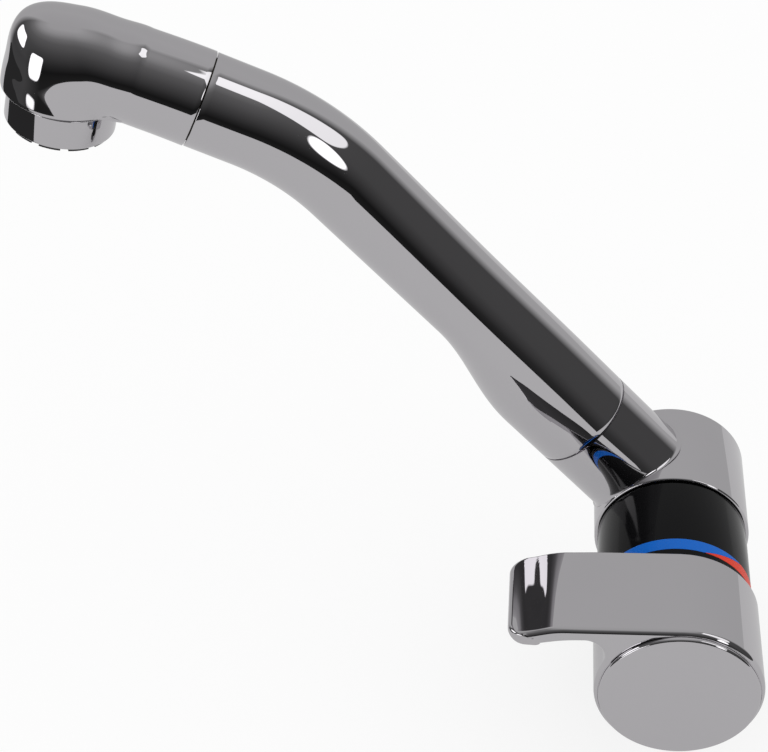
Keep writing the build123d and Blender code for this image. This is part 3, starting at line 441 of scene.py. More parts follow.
NODE_FINISH: dict[str, Finish] = {
    "chrome": CHROME,
    "black": GLOSS_BLACK,
    "blue": BAND_BLUE,
    "red": BAND_RED,
    "brass": BRASS,
    "copper": COPPER,
    "steel": STEEL,
    "rubber": RUBBER,
    "ceramic": CERAMIC,
    "grey_plastic": GREY_PLASTIC,
    "white_plastic": WHITE_PLASTIC,
    "dark_plastic": NOZZLE_BLACK,
}
# The nipple in the head's seam takes the brass with painted seam shade.
SEAM_SHADE_FINISH: dict[str, Finish] = {"head_nipple": SEAM_SHADED_BRASS}


# Meshes


def soft_corners(corners: Sequence[Triple], steps: int) -> list[Point]:
    """Round the corners of an open outline.

    Args:
        corners: Each corner's two coordinates and its radius.
        steps: Facets of each round corner.

    Returns:
        The outline's points, with an arc at each corner that has a radius.
    """
    points: list[Point] = []
    last = len(corners) - 1
    for i, (a, b, radius) in enumerate(corners):
        here = Vector((a, b))
        if radius <= 0.0 or i in (0, last):
            points.append((a, b))
            continue
        back = (Vector(corners[i - 1][:2]) - here).normalized()
        ahead = (Vector(corners[i + 1][:2]) - here).normalized()
        half = back.angle(ahead) / 2.0
        middle = here + (back + ahead).normalized() * (radius / math.sin(half))
        start = here + back * (radius / math.tan(half)) - middle
        end = here + ahead * (radius / math.tan(half)) - middle
        sweep = start.angle_signed(end)
        for k in range(steps + 1):
            spoke = start.copy()
            spoke.rotate(Matrix.Rotation(-sweep * k / steps, 2))
            points.append((middle.x + spoke.x, middle.y + spoke.y))
    return points


def spaced(start: float, end: float, steps: int) -> list[float]:
    """Return evenly spaced numbers from start to end."""
    return [start + (end - start) * i / steps for i in range(steps + 1)]


def circle(count: int) -> list[float]:
    """Return evenly spaced angles once round."""
    return [TAU * i / count for i in range(count)]


def eased(t: float) -> float:
    """Return an even step from 0 to 1 for t from 0 to 1."""
    t = min(1.0, max(0.0, t))
    return t * t * (3.0 - 2.0 * t)


def curve_through(places: Sequence[float], heights: Sequence[float]) -> Callable[[float], float]:
    """Make a smooth curve.

    Args:
        places: Where its points lie, in rising order.
        heights: Its height at each of them.

    Returns:
        The function that gives the height at a place.
    """
    x = np.array(places, float)
    y = np.array(heights, float)
    slope = np.gradient(y, x)

    def at(place: float) -> float:
        """Work out the height by cubic pieces.

        Args:
            place: Where, held between the first and last places.

        Returns:
            The height there.
        """
        i = int(np.clip(np.searchsorted(x, place) - 1, 0, len(x) - 2))
        width = x[i + 1] - x[i]
        t = min(1.0, max(0.0, (place - x[i]) / width))
        rise = y[i] * (1 + 2 * t) * (1 - t) ** 2 + y[i + 1] * t * t * (3 - 2 * t)
        return float(rise + width * (slope[i] * t * (1 - t) ** 2 - slope[i + 1] * t * t * (1 - t)))

    return at


def placed(name: str, data: bpy.types.ID) -> bpy.types.Object:
    """Add an object to the scene.

    Args:
        name: The object's name.
        data: Its mesh or camera.

    Returns:
        The new object.
    """
    made = bpy.data.objects.new(name, data)
    bpy.context.scene.collection.objects.link(made)
    return made


@dataclass
class Skin:
    """A mesh gathered from patches, in millimetres, and made into one object."""

    name: str
    sharp_angle: float = 35.0
    weld: float = 0.002
    points: list[Sequence[float]] = field(default_factory=list)
    faces: list[Sequence[int]] = field(default_factory=list)

    def patch(self, rows: Sequence[Sequence[Sequence[float]]], around: bool = True) -> None:
        """Add a grid of points as quads.

        Args:
            rows: Rows of points, all of one length.
            around: Whether each row is a closed ring.
        """
        first = len(self.points)
        width = len(rows[0])
        for row in rows:
            self.points.extend(row)
        for r in range(len(rows) - 1):
            for c in range(width if around else width - 1):
                d = (c + 1) % width
                low, high = first + r * width, first + (r + 1) * width
                self.faces.append((low + c, low + d, high + d, high + c))

    def lid(self, ring: Sequence[Sequence[float]]) -> None:
        """Close a ring with a fan about its middle.

        Args:
            ring: The ring's points.
        """
        first = len(self.points)
        self.points.extend(ring)
        self.points.append(np.mean(np.array(ring), axis=0))
        count = len(ring)
        for i in range(count):
            self.faces.append((first + i, first + (i + 1) % count, first + count))

    def holed(self, outer: Sequence[Sequence[float]], inner: Sequence[Sequence[float]]) -> None:
        """Fill the face across the barrel between an outline and a round hole in it.

        Args:
            outer: Points of the outline.
            inner: Points of the hole's circle.
        """
        first = len(self.points)
        spots = [*outer, *inner]
        self.points.extend(spots)
        edges = [(i, (i + 1) % len(outer)) for i in range(len(outer))]
        edges += [(len(outer) + i, len(outer) + (i + 1) % len(inner)) for i in range(len(inner))]
        middle = np.mean(np.array(inner), axis=0)
        radius = np.linalg.norm(np.array(inner[0]) - middle)
        flat = [Vector((p[0], p[2])) for p in spots]
        corners, _, triangles, sources, _, _ = delaunay_2d_cdt(flat, edges, [], 1, 1e-6)
        places = []
        for corner, source in zip(corners, sources):
            if not source:
                nearest = min(spots, key=lambda p: (corner - Vector((p[0], p[2]))).length)
                self.points.append((corner.x, nearest[1], corner.y))
            places.append(first + source[0] if source else len(self.points) - 1)
        for face in triangles:
            centre = sum((corners[i] for i in face), Vector((0.0, 0.0))) / 3.0
            if (centre - Vector((middle[0], middle[2]))).length > radius:
                self.faces.append([places[i] for i in face])

    def made(self, finish: Finish, slot: Slot, body: Body, replaced: Sequence[str]) -> bpy.types.Object:
        """Turn the patches into an object that rides on a body.

        Args:
            finish: What the surface looks like.
            slot: The record's slot for it; not used.
            body: The body that carries it.
            replaced: Solids that the object stands for.

        Returns:
            The finished object.
        """
        mesh = bpy.data.meshes.new(self.name)
        mesh.from_pydata([tuple(MM * float(v) for v in p) for p in self.points], [], self.faces)
        work = bmesh.new()
        work.from_mesh(mesh)
        bmesh.ops.remove_doubles(work, verts=work.verts, dist=self.weld * MM)
        bmesh.ops.recalc_face_normals(work, faces=work.faces)
        work.to_mesh(mesh)
        work.free()
        mesh.shade_smooth()
        mesh.set_sharp_from_angle(angle=math.radians(self.sharp_angle))
        mesh.materials.append(finish.material())
        made = placed(self.name, mesh)
        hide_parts(*replaced)
        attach(made, body.value)
        LOG.info("%s: %d faces on %s", self.name, len(mesh.polygons), body.value)
        return made


@dataclass(frozen=True)
class Axle:
    """A line in space with a frame round it, for turned shapes."""

    origin: Vector
    along: Vector
    out: Vector

    @property
    def side(self) -> Vector:
        """Return the third direction of the frame."""
        return self.along.cross(self.out)

    def at(self, angle: float, radius: float, height: float) -> Vector:
        """Return the point at an angle, a radius and a height along the line."""
        spoke = self.out * (radius * math.cos(angle)) + self.side * (radius * math.sin(angle))
        return self.origin + self.along * height + spoke

    def ring(self, radius: float, height: float, count: int) -> list[Vector]:
        """Return a full circle of points."""
        return [self.at(angle, radius, height) for angle in circle(count)]

    def turned(self, profile: Iterable[Point], count: int) -> list[list[Vector]]:
        """Return the rings of a profile of radii and heights."""
        return [self.ring(radius, height, count) for radius, height in profile]


X = Vector((1.0, 0.0, 0.0))
Y = Vector((0.0, 1.0, 0.0))
Z = Vector((0.0, 0.0, 1.0))
POST = Axle(Vector((0.0, 0.0, 0.0)), Z, X)


@dataclass
class Barrel:
    """Where the level barrel lies, in millimetres."""

    height: float = 42.0

    def axle(self) -> Axle:
        """Return the barrel's axis, with heights counted along +Y."""
        return Axle(Vector((0.0, 0.0, self.height)), Y.copy(), Z.copy())


@dataclass
class Handle:
    """Handle cup with its side blade and the flat cap."""

    barrel: Barrel
    radius: float = 23.6
    rear: float = -19.7
    front: float = -51.2
    front_edge: float = 1.7
    rear_edge: float = 0.35
    skirt_bore: float = 22.75
    skirt_end: float = -24.2
    skirt_step: float = 0.6
    bore: float = 21.9
    web: float = -38.3
    hub_bore: float = 4.2
    hub_depth: float = 6.0
    slope: float = 2.3
    flat_end: float = 44.6
    dip_places: tuple[float, ...] = (30.0, 33.2, 36.5, 38.5, 41.5, 44.0, 50.0)
    dip_drops: tuple[float, ...] = (0.0, 0.0, 0.36, 0.85, 1.65, 2.2, 2.8)
    under_places: tuple[float, ...] = (24.0, 27.0, 33.5, 38.0, 42.0, 45.0, 50.0)
    under_heights: tuple[float, ...] = (18.1, 18.0, 17.4, 16.4, 15.4, 15.2, 15.2)
    tip: float = 48.15
    tip_top_round: float = 1.3
    tip_low_round: float = 2.3
    corner: float = 5.2
    taper: float = 1.0
    root: float = 27.0
    root_pull: Point = (-3.0, 0.06)
    foot_angle: float = 68.0
    foot_pull: float = 5.2
    face_border: float = 0.12
    facets: int = 192
    cap_radius: float = 22.35
    cap_room: float = 0.22
    cap_face: float = -52.55
    cap_edge: float = 0.85
    cap_border: float = 0.6
    cap_seat: float = -49.9
    cap_steps: int = 10
    columns: int = 56
    root_steps: int = 16
    nose_steps: int = 9
    turns: int = 120
    edge_steps: int = 8
    rear_steps: int = 14
    middle_steps: int = 20
    front_steps: int = 12
    crowding: float = 1.5

    def __post_init__(self) -> None:
        """Prepare the curves of the blade's top and underside."""
        self.drop = curve_through(self.dip_places, self.dip_drops)
        self.blade_low = curve_through(self.under_places, self.under_heights)

    def blade_top(self, reach: float) -> float:
        """Work out how high the blade's top is.

        Args:
            reach: Millimetres from the barrel's axis.

        Returns:
            The height over the axis.
        """
        tilt = math.radians(self.slope)
        flat = self.radius / math.cos(tilt) - min(reach, self.flat_end) * math.tan(tilt)
        return flat - self.drop(reach)

    def on_drum(self, angle: float) -> Point:
        """Return the drum's point at an angle from its top towards the blade."""
        return self.radius * math.sin(angle), self.radius * math.cos(angle)

    def outline(self, tip: float) -> list[Point]:
        """Draw the closed outline of the cup and its blade, seen along the barrel.

        Args:
            tip: How far the blade reaches from the axis.

        Returns:
            Points of reach towards the blade and height, from the top round by the tip.
        """
        tilt, foot_angle = math.radians(self.slope), math.radians(self.foot_angle)
        start, top_end = self.on_drum(tilt)[0], tip - self.tip_top_round
        points = [(reach, self.blade_top(reach)) for reach in spaced(start, top_end, self.columns)]
        low, high = self.blade_low(tip), self.blade_top(top_end)
        low_start = tip - 2.0 * self.tip_low_round
        nose = [(top_end, high, 0.0), (tip, high, self.tip_top_round)]
        nose += [(tip, low, self.tip_low_round), (low_start, low, 0.0)]
        points += soft_corners(nose, self.nose_steps)[1:]
        under = spaced(low_start, self.root, self.columns // 2)[1:]
        points += [(reach, self.blade_low(reach)) for reach in under]
        here, foot = Vector((self.root, self.blade_low(self.root))), Vector(self.on_drum(foot_angle))
        heading = Vector((math.cos(foot_angle), -math.sin(foot_angle)))
        first, second = here + Vector(self.root_pull), foot - heading * self.foot_pull
        for t in spaced(0.0, 1.0, self.root_steps)[1:]:
            left = 1 - t
            spot = here * left**3 + first * 3 * t * left**2 + second * 3 * t * t * left + foot * t**3
            points.append((spot.x, spot.y))
        points += [self.on_drum(angle) for angle in spaced(foot_angle, TAU - tilt, self.turns)[1:-1]]
        points.append(self.on_drum(tilt / 2))
        return points

    @staticmethod
    def inset(outline: Sequence[Point], amount: float) -> list[Point]:
        """Move an outline inwards along its normals.

        Args:
            outline: Its points.
            amount: How far, in millimetres.

        Returns:
            The moved points.
        """
        spots = np.array(outline)
        ahead = np.roll(spots, -1, axis=0) - spots
        ahead /= np.linalg.norm(ahead, axis=1)[:, None]
        mean = ahead + np.roll(ahead, 1, axis=0)
        mean /= np.linalg.norm(mean, axis=1)[:, None]
        inward = np.stack([mean[:, 1], -mean[:, 0]], axis=1)
        return [tuple(p) for p in spots + amount * inward]

    def tip_at(self, along: float) -> float:
        """Work out the blade's reach, which its round corners shorten.

        Args:
            along: The share of its width, from rear 0 to front 1.

        Returns:
            Millimetres from the barrel's axis.
        """
        length = self.rear - self.front
        near = min(along, 1.0 - along) * length
        cut = 0.0
        if near < self.corner:
            cut = self.corner - math.sqrt(max(0.0, self.corner**2 - (self.corner - near) ** 2))
        return self.tip - cut

    def stations(self) -> list[Point]:
        """Place the shell's outlines, closer together at its rims and corners.

        Returns:
            Shares of the width with insets, from the rear rim to the front rim.
        """
        length = self.rear - self.front
        near, rear, front = (size / length for size in (self.corner, self.rear_edge, self.front_edge))
        arc = spaced(0.0, math.pi / 2, self.edge_steps)
        found = [(rear * (1 - math.sin(a)), self.rear_edge * (1 - math.cos(a))) for a in reversed(arc)]
        slow = [t**self.crowding for t in spaced(0.0, 1.0, self.rear_steps)[1:]]
        found += [(rear + (near - rear) * t, 0.0) for t in slow]
        found += [(t, 0.0) for t in spaced(near, 1 - near, self.middle_steps)[1:-1]]
        quick = [1 - (1 - t) ** self.crowding for t in spaced(0.0, 1.0, self.front_steps)[:-1]]
        found += [(1 - near + (near - front) * t, 0.0) for t in quick]
        found += [(1 - front + front * math.sin(a), self.front_edge * (1 - math.cos(a))) for a in arc]
        return found

    def _spot(self, reach: float, height: float, share: float) -> Triple:
        """Place a point of the shell.

        Args:
            reach: Millimetres from the axis towards the blade.
            height: Millimetres over the axis.
            share: The share of the width, from rear 0 to front 1.

        Returns:
            The point in the part's frame.
        """
        out = max(0.0, reach - self.radius) / (self.tip - self.radius)
        y = self.rear + (self.front - self.rear) * share - self.taper * out * (1 - share)
        return (-reach, y, self.barrel.height + height)

    def shell(self) -> bpy.types.Object:
        """Build the cup with its blade.

        Returns:
            The new piece.
        """
        skin = Skin("handle_cup_and_blade", 50.0)
        rows = []
        for share, amount in self.stations():
            line = self.outline(self.tip_at(share))
            line = self.inset(line, amount) if amount > 0.0 else line
            rows.append([self._spot(a, b, share) for a, b in line])
        ends = []
        for share, amount in ((0.0, self.rear_edge), (1.0, self.front_edge)):
            line = self.inset(self.outline(self.tip_at(share)), amount + self.face_border)
            ends.append([self._spot(a, b, share) for a, b in line])
        skin.patch([ends[0], *rows, ends[1]])
        skirt, seat = self.skirt_bore, self.cap_radius + self.cap_room
        inside = [(skirt, self.rear), (skirt, self.skirt_end), (self.bore, self.skirt_end - self.skirt_step)]
        inside += [(self.bore, self.web), (self.hub_bore, self.web)]
        inside.append((self.hub_bore, self.web - self.hub_depth))
        pocket = [(seat, self.front), (seat, self.cap_seat), (self.hub_bore, self.cap_seat)]
        for end, profile in zip(ends, (inside, pocket)):
            rings = self.barrel.axle().turned(profile, self.facets)
            skin.patch(rings)
            skin.holed(end, rings[0])
        return skin.made(CHROME, Slot.CHROME, Body.LEVER, ["handle_shell"])

    def cap(self) -> bpy.types.Object:
        """Build the flat disc on the handle's front.

        Returns:
            The new piece.
        """
        skin = Skin("handle_cap_disc")
        face, radius, seat = self.cap_face, self.cap_radius, self.cap_seat
        corners = [(0.0, face, 0.0), (radius, face, self.cap_edge), (radius, seat, 0.0), (0.0, seat, 0.0)]
        rings = self.barrel.axle().turned(soft_corners(corners, self.cap_steps)[1:-1], self.facets)
        inner = self.barrel.axle().ring(radius - self.cap_edge - self.cap_border, face, self.facets)
        skin.patch([inner, *rings])
        skin.lid(inner)
        skin.lid(rings[-1])
        return skin.made(CHROME, Slot.CHROME, Body.LEVER, ["handle_cap"])

    def build(self) -> None:
        """Build every piece of the handle."""
        self.shell()
        self.cap()


@dataclass
class Sleeve:
    """Black middle of the barrel with its neck and the coloured bands."""

    barrel: Barrel
    radius: float = 22.15
    front: float = -20.0
    rear: float = 12.4
    bore: float = 20.5
    edge: float = 0.35
    neck_radius: float = 12.0
    neck_bore: float = 10.9
    foot_radius: float = 14.0
    flare_top: float = 17.0
    neck_bottom: float = 9.35
    band_front: float = -16.2
    band_rear: float = -12.0
    band_start: float = -112.0
    band_end: float = 112.0
    split_front: float = 17.3
    split_rear: float = 54.0
    split_gap: float = 0.4
    band_lift: float = 0.06
    band_root: float = 0.4
    band_steps: int = 72
    band_brim: float = 0.4
    band_round: float = 0.03
    foot_edge: float = 0.9
    foot_round: float = 0.4
    flare_round: float = 5.0
    neck_land: float = 1.0
    neck_sink: float = 0.3
    steps: int = 6
    facets: int = 192
    neck_facets: int = 96

    def sleeve(self) -> bpy.types.Object:
        """Build the glossy sleeve and its neck.

        Returns:
            The new piece.
        """
        skin = Skin("barrel_sleeve")
        corners = [(self.bore, self.rear, 0.0), (self.radius, self.rear, self.edge)]
        corners += [(self.radius, self.front, self.edge), (self.bore, self.front, 0.0), corners[0]]
        skin.patch(self.barrel.axle().turned(soft_corners(corners, self.steps), self.facets))
        outer, foot, low = self.neck_radius, self.foot_radius, self.neck_bottom
        profile = [(self.neck_bore, low, 0.0), (foot, low, self.foot_round)]
        profile += [(foot, low + self.foot_edge, self.foot_round), (outer, self.flare_top, self.flare_round)]
        profile.append((outer, self.flare_top + self.neck_land, 0.0))
        rows = POST.turned(soft_corners(profile, self.steps), self.neck_facets)
        top = self.barrel.height + self.neck_sink
        rows.append([Vector((p.x, p.y, top - math.sqrt(self.radius**2 - p.x**2))) for p in rows[-1]])
        skin.patch(rows)
        return skin.made(GLOSS_BLACK, Slot.BLACK, Body.MIDDLE, ["body_shell"])

    def band(
        self, name: str, finish: Finish, slot: Slot, node: str, sides: Callable[[float], Point]
    ) -> None:
        """Build one colour of the band.

        Args:
            name: The piece's name.
            finish: Its colour.
            slot: The record's slot.
            node: The solid that it stands for.
            sides: Gives the angles where it starts and ends, for a share of its width.
        """
        skin = Skin(name)
        root, face = self.radius - self.band_root, self.radius + self.band_lift
        brim, edge = self.radius + self.band_brim * self.band_lift, self.band_round
        profile = [(root, 0.0), (brim, 0.0), (face, edge)]
        profile += [(face, share) for share in spaced(0.0, 1.0, 10)[1:-1]]
        profile += [(face, 1.0 - edge), (brim, 1.0), (root, 1.0)]
        rows = []
        for i in range(self.band_steps + 1):
            row = []
            for radius, share in profile:
                first, last = sides(share)
                angle = math.radians(first + (last - first) * i / self.band_steps)
                y = self.band_front + (self.band_rear - self.band_front) * share
                row.append((radius * math.sin(angle), y, self.barrel.height + radius * math.cos(angle)))
            rows.append(row)
        skin.patch(rows, around=False)
        skin.made(finish, slot, Body.MIDDLE, [node])

    def split(self, share: float) -> float:
        """Return the angle of the slanted line between the colours."""
        return self.split_front + (self.split_rear - self.split_front) * share

    def cold_sides(self, share: float) -> Point:
        """Return the angles between which the blue mark lies."""
        return self.band_start, self.split(share) - self.split_gap

    def hot_sides(self, share: float) -> Point:
        """Return the angles between which the red mark lies."""
        return self.split(share) + self.split_gap, self.band_end

    def build(self) -> None:
        """Build every piece of the sleeve."""
        self.sleeve()
        self.band("cold_band_arc", BAND_BLUE, Slot.BLUE, "cold_band", self.cold_sides)
        self.band("hot_band_arc", BAND_RED, Slot.RED, "hot_band", self.hot_sides)


def spout_direction(angle: float) -> Vector:
    """Return the direction of the spout's plane that rises by angle degrees towards -X."""
    turn = math.radians(angle)
    return Vector((-math.cos(turn), 0.0, math.sin(turn)))


def outward(along: Vector) -> Vector:
    """Return the direction square to along on the outer side of the spout's bends."""
    return Vector((along.z, 0.0, -along.x))


def spout_axle(origin: Vector, along: Vector) -> Axle:
    """Return an axis in the spout's plane, with angles from the outer side of its bends."""
    return Axle(origin, along, outward(along))


@dataclass
class Spout:
    """Knuckle, stub, bent tube and turning head of the spout."""

    barrel: Barrel
    plane: float = 29.4
    knuckle_radius: float = 23.0
    knuckle_front: float = 13.0
    knuckle_rear: float = 45.8
    knuckle_edge: float = 0.6
    cap_radius: float = 19.95
    stub_angle: float = 47.5
    stub_radius: float = 16.15
    stub_reach: float = 42.7
    crease: float = 0.9
    seam: float = 0.35
    seam_edge: float = 0.15
    tube_radius: float = 13.45
    tube_rise: float = 3.2
    top_trim: float = 0.25
    swell_start: float = 60.0
    swell_end: float = 98.0
    taper_end: float = 149.0
    sight: float = 0.535
    corner_reach: float = 165.6
    bend_radius: float = 75.0
    head_angle: float = 22.5
    upper_leg: float = 30.2
    head_radius: float = 13.6
    head_reach: float = 37.2
    elbow_turn: float = 100.0
    nozzle_radius: float = 15.2
    nozzle_drop: float = 13.4
    ring_height: float = 9.2
    ring_edge: float = 0.5
    rim_bore: float = 14.35
    elbow_gap: float = 0.3
    neck_angle: float = 20.3
    neck_bend: float = 14.0
    neck_taper: float = 0.012
    elbow_heights: tuple[float, ...] = (26.77, 28.1, 33.3, 39.3, 35.7, 33.6)
    elbow_half_widths: tuple[float, ...] = (13.39, 13.4, 13.6, 14.4, 15.5, 16.8)
    elbow_lip: float = 0.8
    around: int = 144
    mouth_radius: float = 12.6
    rear_edge: float = 0.5
    pocket_edge: float = 0.25
    pocket_gap: float = 0.1
    pocket_depth: float = 1.5
    disc_depth: float = 2.0
    disc_edge: float = 0.3
    disc_flat: float = 14.0
    crease_sink: float = 0.15
    crease_stretch: float = 1.4
    crease_side: float = 0.35
    rim_room: float = 0.12
    stub_bore: float = 9.0
    foot_bore: float = 10.7
    head_bore: float = 11.9
    lip_inset: float = 1.2
    crease_rows: int = 10
    stub_rows: int = 4
    lower_rows: int = 80
    bend_rows: int = 40
    upper_rows: int = 8
    neck_rows: int = 16
    elbow_rows: int = 64
    lip_rows: int = 7
    neck_steps: int = 48
    halvings: int = 30
    drum_facets: int = 256
    drum_steps: int = 7
    disc_facets: int = 192
    disc_steps: int = 6
    ring_steps: int = 8
    ring_gap: float = 0.12
    ring_round: float = 0.3
    ring_top: float = 2.0
    rim_depth: float = 2.2
    rim_round: float = 0.1

    @property
    def chamfer(self) -> float:
        """Return the first cut of a seam's soft edge."""
        return 0.3 * self.seam_edge

    @property
    def low(self) -> Vector:
        """Return the direction of the stub and the lower leg."""
        return spout_direction(self.stub_angle)

    @property
    def high(self) -> Vector:
        """Return the direction of the upper leg."""
        return spout_direction(self.head_angle)

    @property
    def down(self) -> Vector:
        """Return the direction in which the nozzle points."""
        return spout_direction(self.head_angle - self.elbow_turn)

    @property
    def turns(self) -> list[float]:
        """Return the angles of a section's points."""
        return circle(self.around)

    def point(self, reach: float, rise: float = 0.0) -> Vector:
        """Return the point at a reach along the stub's axis and a rise across it."""
        hub = Vector((0.0, self.plane, self.barrel.height))
        return hub + self.low * reach + outward(self.low) * rise

    def _crease_ring(self, share: float) -> list[Vector]:
        """Lay a ring of the rounded crease where the stub leaves the drum.

        Args:
            share: How far up the crease, from 0 on the drum to 1 on the stub.

        Returns:
            The ring's points.
        """
        across, angle = outward(self.low), math.pi / 2 * share
        lift = self.crease * self.crease_stretch * (1.0 - math.cos(angle)) - self.crease_sink
        row = []
        for turn in self.turns:
            start = math.sqrt(self.knuckle_radius**2 - (self.stub_radius * math.cos(turn)) ** 2)
            side = self.crease_side + (1.0 - self.crease_side) * math.cos(turn) ** 2
            wide = self.stub_radius + self.crease * (1.0 - math.sin(angle)) * side
            spot = self.point(start + lift) + across * (wide * math.cos(turn)) + Y * (wide * math.sin(turn))
            spot.y = min(max(spot.y, self.knuckle_front + self.rim_room), self.knuckle_rear - self.rim_room)
            row.append(spot)
        return row

    def knuckle(self) -> bpy.types.Object:
        """Build the drum with its slanted stub.

        Returns:
            The new piece.
        """
        skin = Skin("knuckle_and_stub")
        radius, front, rear = self.knuckle_radius, self.knuckle_front, self.knuckle_rear
        pocket = self.cap_radius + self.pocket_gap
        corners = [(self.mouth_radius, front, 0.0), (radius, front, self.knuckle_edge)]
        corners += [(radius, rear, self.rear_edge), (pocket, rear, self.pocket_edge)]
        corners.append((pocket, rear - self.pocket_depth, 0.0))
        skin.patch(self.barrel.axle().turned(soft_corners(corners, self.drum_steps), self.drum_facets))
        rows = [self._crease_ring(share) for share in spaced(0.0, 1.0, self.crease_rows)]
        stub = spout_axle(self.point(self.stub_reach), self.low)
        brim = [stub.at(turn, self.stub_radius, -self.seam_edge) for turn in self.turns]
        foot = rows[-1]
        for share in spaced(0.0, 1.0, self.stub_rows)[1:]:
            rows.append([start.lerp(end, share) for start, end in zip(foot, brim)])
        lip = [(self.stub_radius - self.chamfer, -self.chamfer), (self.stub_radius - self.seam_edge, 0.0)]
        for reach, height in [*lip, (self.stub_bore, 0.0)]:
            rows.append([stub.at(-turn, reach, height) for turn in self.turns])
        skin.patch(rows)
        return skin.made(CHROME, Slot.CHROME, Body.SPOUT, ["spout_knuckle"])

    def end_cap(self) -> bpy.types.Object:
        """Build the disc that closes the knuckle's far end.

        Returns:
            The new piece.
        """
        skin = Skin("knuckle_end_disc")
        radius, face = self.cap_radius, self.knuckle_rear
        corners = [(radius, face - self.disc_depth, 0.0), (radius, face, self.disc_edge)]
        corners.append((self.disc_flat, face, 0.0))
        rings = self.barrel.axle().turned(soft_corners(corners, self.disc_steps), self.disc_facets)
        skin.patch(rings)
        skin.lid(rings[-1])
        return skin.made(CHROME, Slot.CHROME, Body.SPOUT, ["end_cap"])

    def lower_section(self, reach: float) -> tuple[float, float, float, float]:
        """Shape the lower leg's section at a reach along the stub's axis.

        Args:
            reach: Millimetres from the barrel's axis.

        Returns:
            The rise of its middle, its heights over and under the middle, and its half width.
        """
        start = self.stub_reach + self.seam
        slow = min(1.0, (reach - start) / (self.taper_end - start))
        quick = eased((reach - self.swell_start) / (self.swell_end - self.swell_start))
        late = eased((reach - self.swell_end) / (self.taper_end - self.swell_end))
        slimming = self.tube_radius - self.stub_radius
        half, radius = self.stub_radius + slimming * slow, self.stub_radius + slimming * quick
        middle = self.tube_rise * eased(slow)
        lean, turn = math.cos(self.sight), math.sin(self.sight)
        rise, trim = self.tube_rise * quick * lean, self.top_trim * quick * (1.0 - late)
        over = math.sqrt((rise + radius - trim - lean * middle) ** 2 - (turn * half) ** 2) / lean
        under = math.sqrt((radius - rise + lean * middle) ** 2 - (turn * half) ** 2) / lean
        return middle, over, under, half

    def section(self, centre: Vector, along: Vector, over: float, under: float, half: float) -> list[Vector]:
        """Lay a closed oval ring.

        Args:
            centre: Its middle.
            along: The direction it faces.
            over: Its height on the outer side of the bends.
            under: Its height on the inner side.
            half: Its half width.

        Returns:
            The ring's points.
        """
        out, side = outward(along), along.cross(outward(along))
        row = []
        for turn in self.turns:
            tall = over if math.cos(turn) > 0.0 else under
            row.append(centre + out * (tall * math.cos(turn)) + side * (half * math.sin(turn)))
        return row

    def tube_rows(self) -> list[list[Vector]]:
        """Lay the tube's rings.

        Returns:
            The rings, from the stub's seam to the head's.
        """
        low, high = self.low, self.high
        corner = self.point(self.corner_reach, self.tube_rise)
        turn = math.radians(self.stub_angle - self.head_angle)
        bend_start = self.corner_reach - self.bend_radius * math.tan(turn / 2)
        start = self.stub_reach + self.seam + self.seam_edge
        rows = []
        for reach in spaced(start, bend_start, self.lower_rows):
            middle, over, under, half = self.lower_section(reach)
            rows.append(self.section(self.point(reach, middle), low, over, under, half))
        pivot = self.point(bend_start, self.tube_rise) - outward(low) * self.bend_radius
        sizes = [self.tube_radius] * 3
        for angle in spaced(self.stub_angle, self.head_angle, self.bend_rows)[1:]:
            along = spout_direction(angle)
            rows.append(self.section(pivot + outward(along) * self.bend_radius, along, *sizes))
        first = pivot + outward(high) * self.bend_radius
        end = corner + high * (self.upper_leg - self.seam_edge)
        shares = spaced(0.0, 1.0, self.upper_rows)[1:]
        return rows + [self.section(first.lerp(end, share), high, *sizes) for share in shares]

    def head_seam(self) -> Vector:
        """Return the centre of the seam between the tube and the head."""
        return self.point(self.corner_reach, self.tube_rise) + self.high * self.upper_leg

    def tube(self) -> bpy.types.Object:
        """Build the bent tube with its swollen foot.

        Returns:
            The new piece.
        """
        skin = Skin("spout_pipe")
        start = spout_axle(self.point(self.stub_reach + self.seam), self.low)
        end = spout_axle(self.head_seam(), self.high)
        soft, chamfer, foot, top = self.seam_edge, self.chamfer, self.stub_radius, self.tube_radius
        opening = [(self.foot_bore, 0.0), (foot - soft, 0.0), (foot - chamfer, chamfer)]
        closing = [(top - chamfer, -chamfer), (top - soft, 0.0), (self.head_bore, 0.0)]
        rows = start.turned(opening, self.around) + self.tube_rows()
        skin.patch(rows + end.turned(closing, self.around))
        return skin.made(CHROME, Slot.CHROME, Body.SPOUT, ["spout_tube"])

    def elbow(self) -> bpy.types.Object:
        """Build the head's shell, from its neck through the elbow to the nozzle's seam.

        Returns:
            The new piece.
        """
        skin = Skin("head_elbow")
        low, seam = self.down, self.nozzle_seam()
        pivot, straight = self.elbow_pivot()
        bend = self.elbow_turn - self.head_angle + self.neck_angle
        places = spaced(0.0, bend, len(self.elbow_heights) - 1)
        height = curve_through(places, self.elbow_heights)
        width = curve_through(places, self.elbow_half_widths)

        def shell_point(angle: float, turn: float) -> Vector:
            """Place a point of the elbow's fan of sections.

            Args:
                angle: How far round the bend, in degrees.
                turn: How far round the section.

            Returns:
                The point.
            """
            along = spout_direction(self.neck_angle - angle)
            tall, half = height(angle) / 2, width(angle)
            middle = pivot + outward(along) * (self.elbow_gap + tall)
            side = along.cross(outward(along))
            return middle + outward(along) * (tall * math.cos(turn)) + side * (half * math.sin(turn))

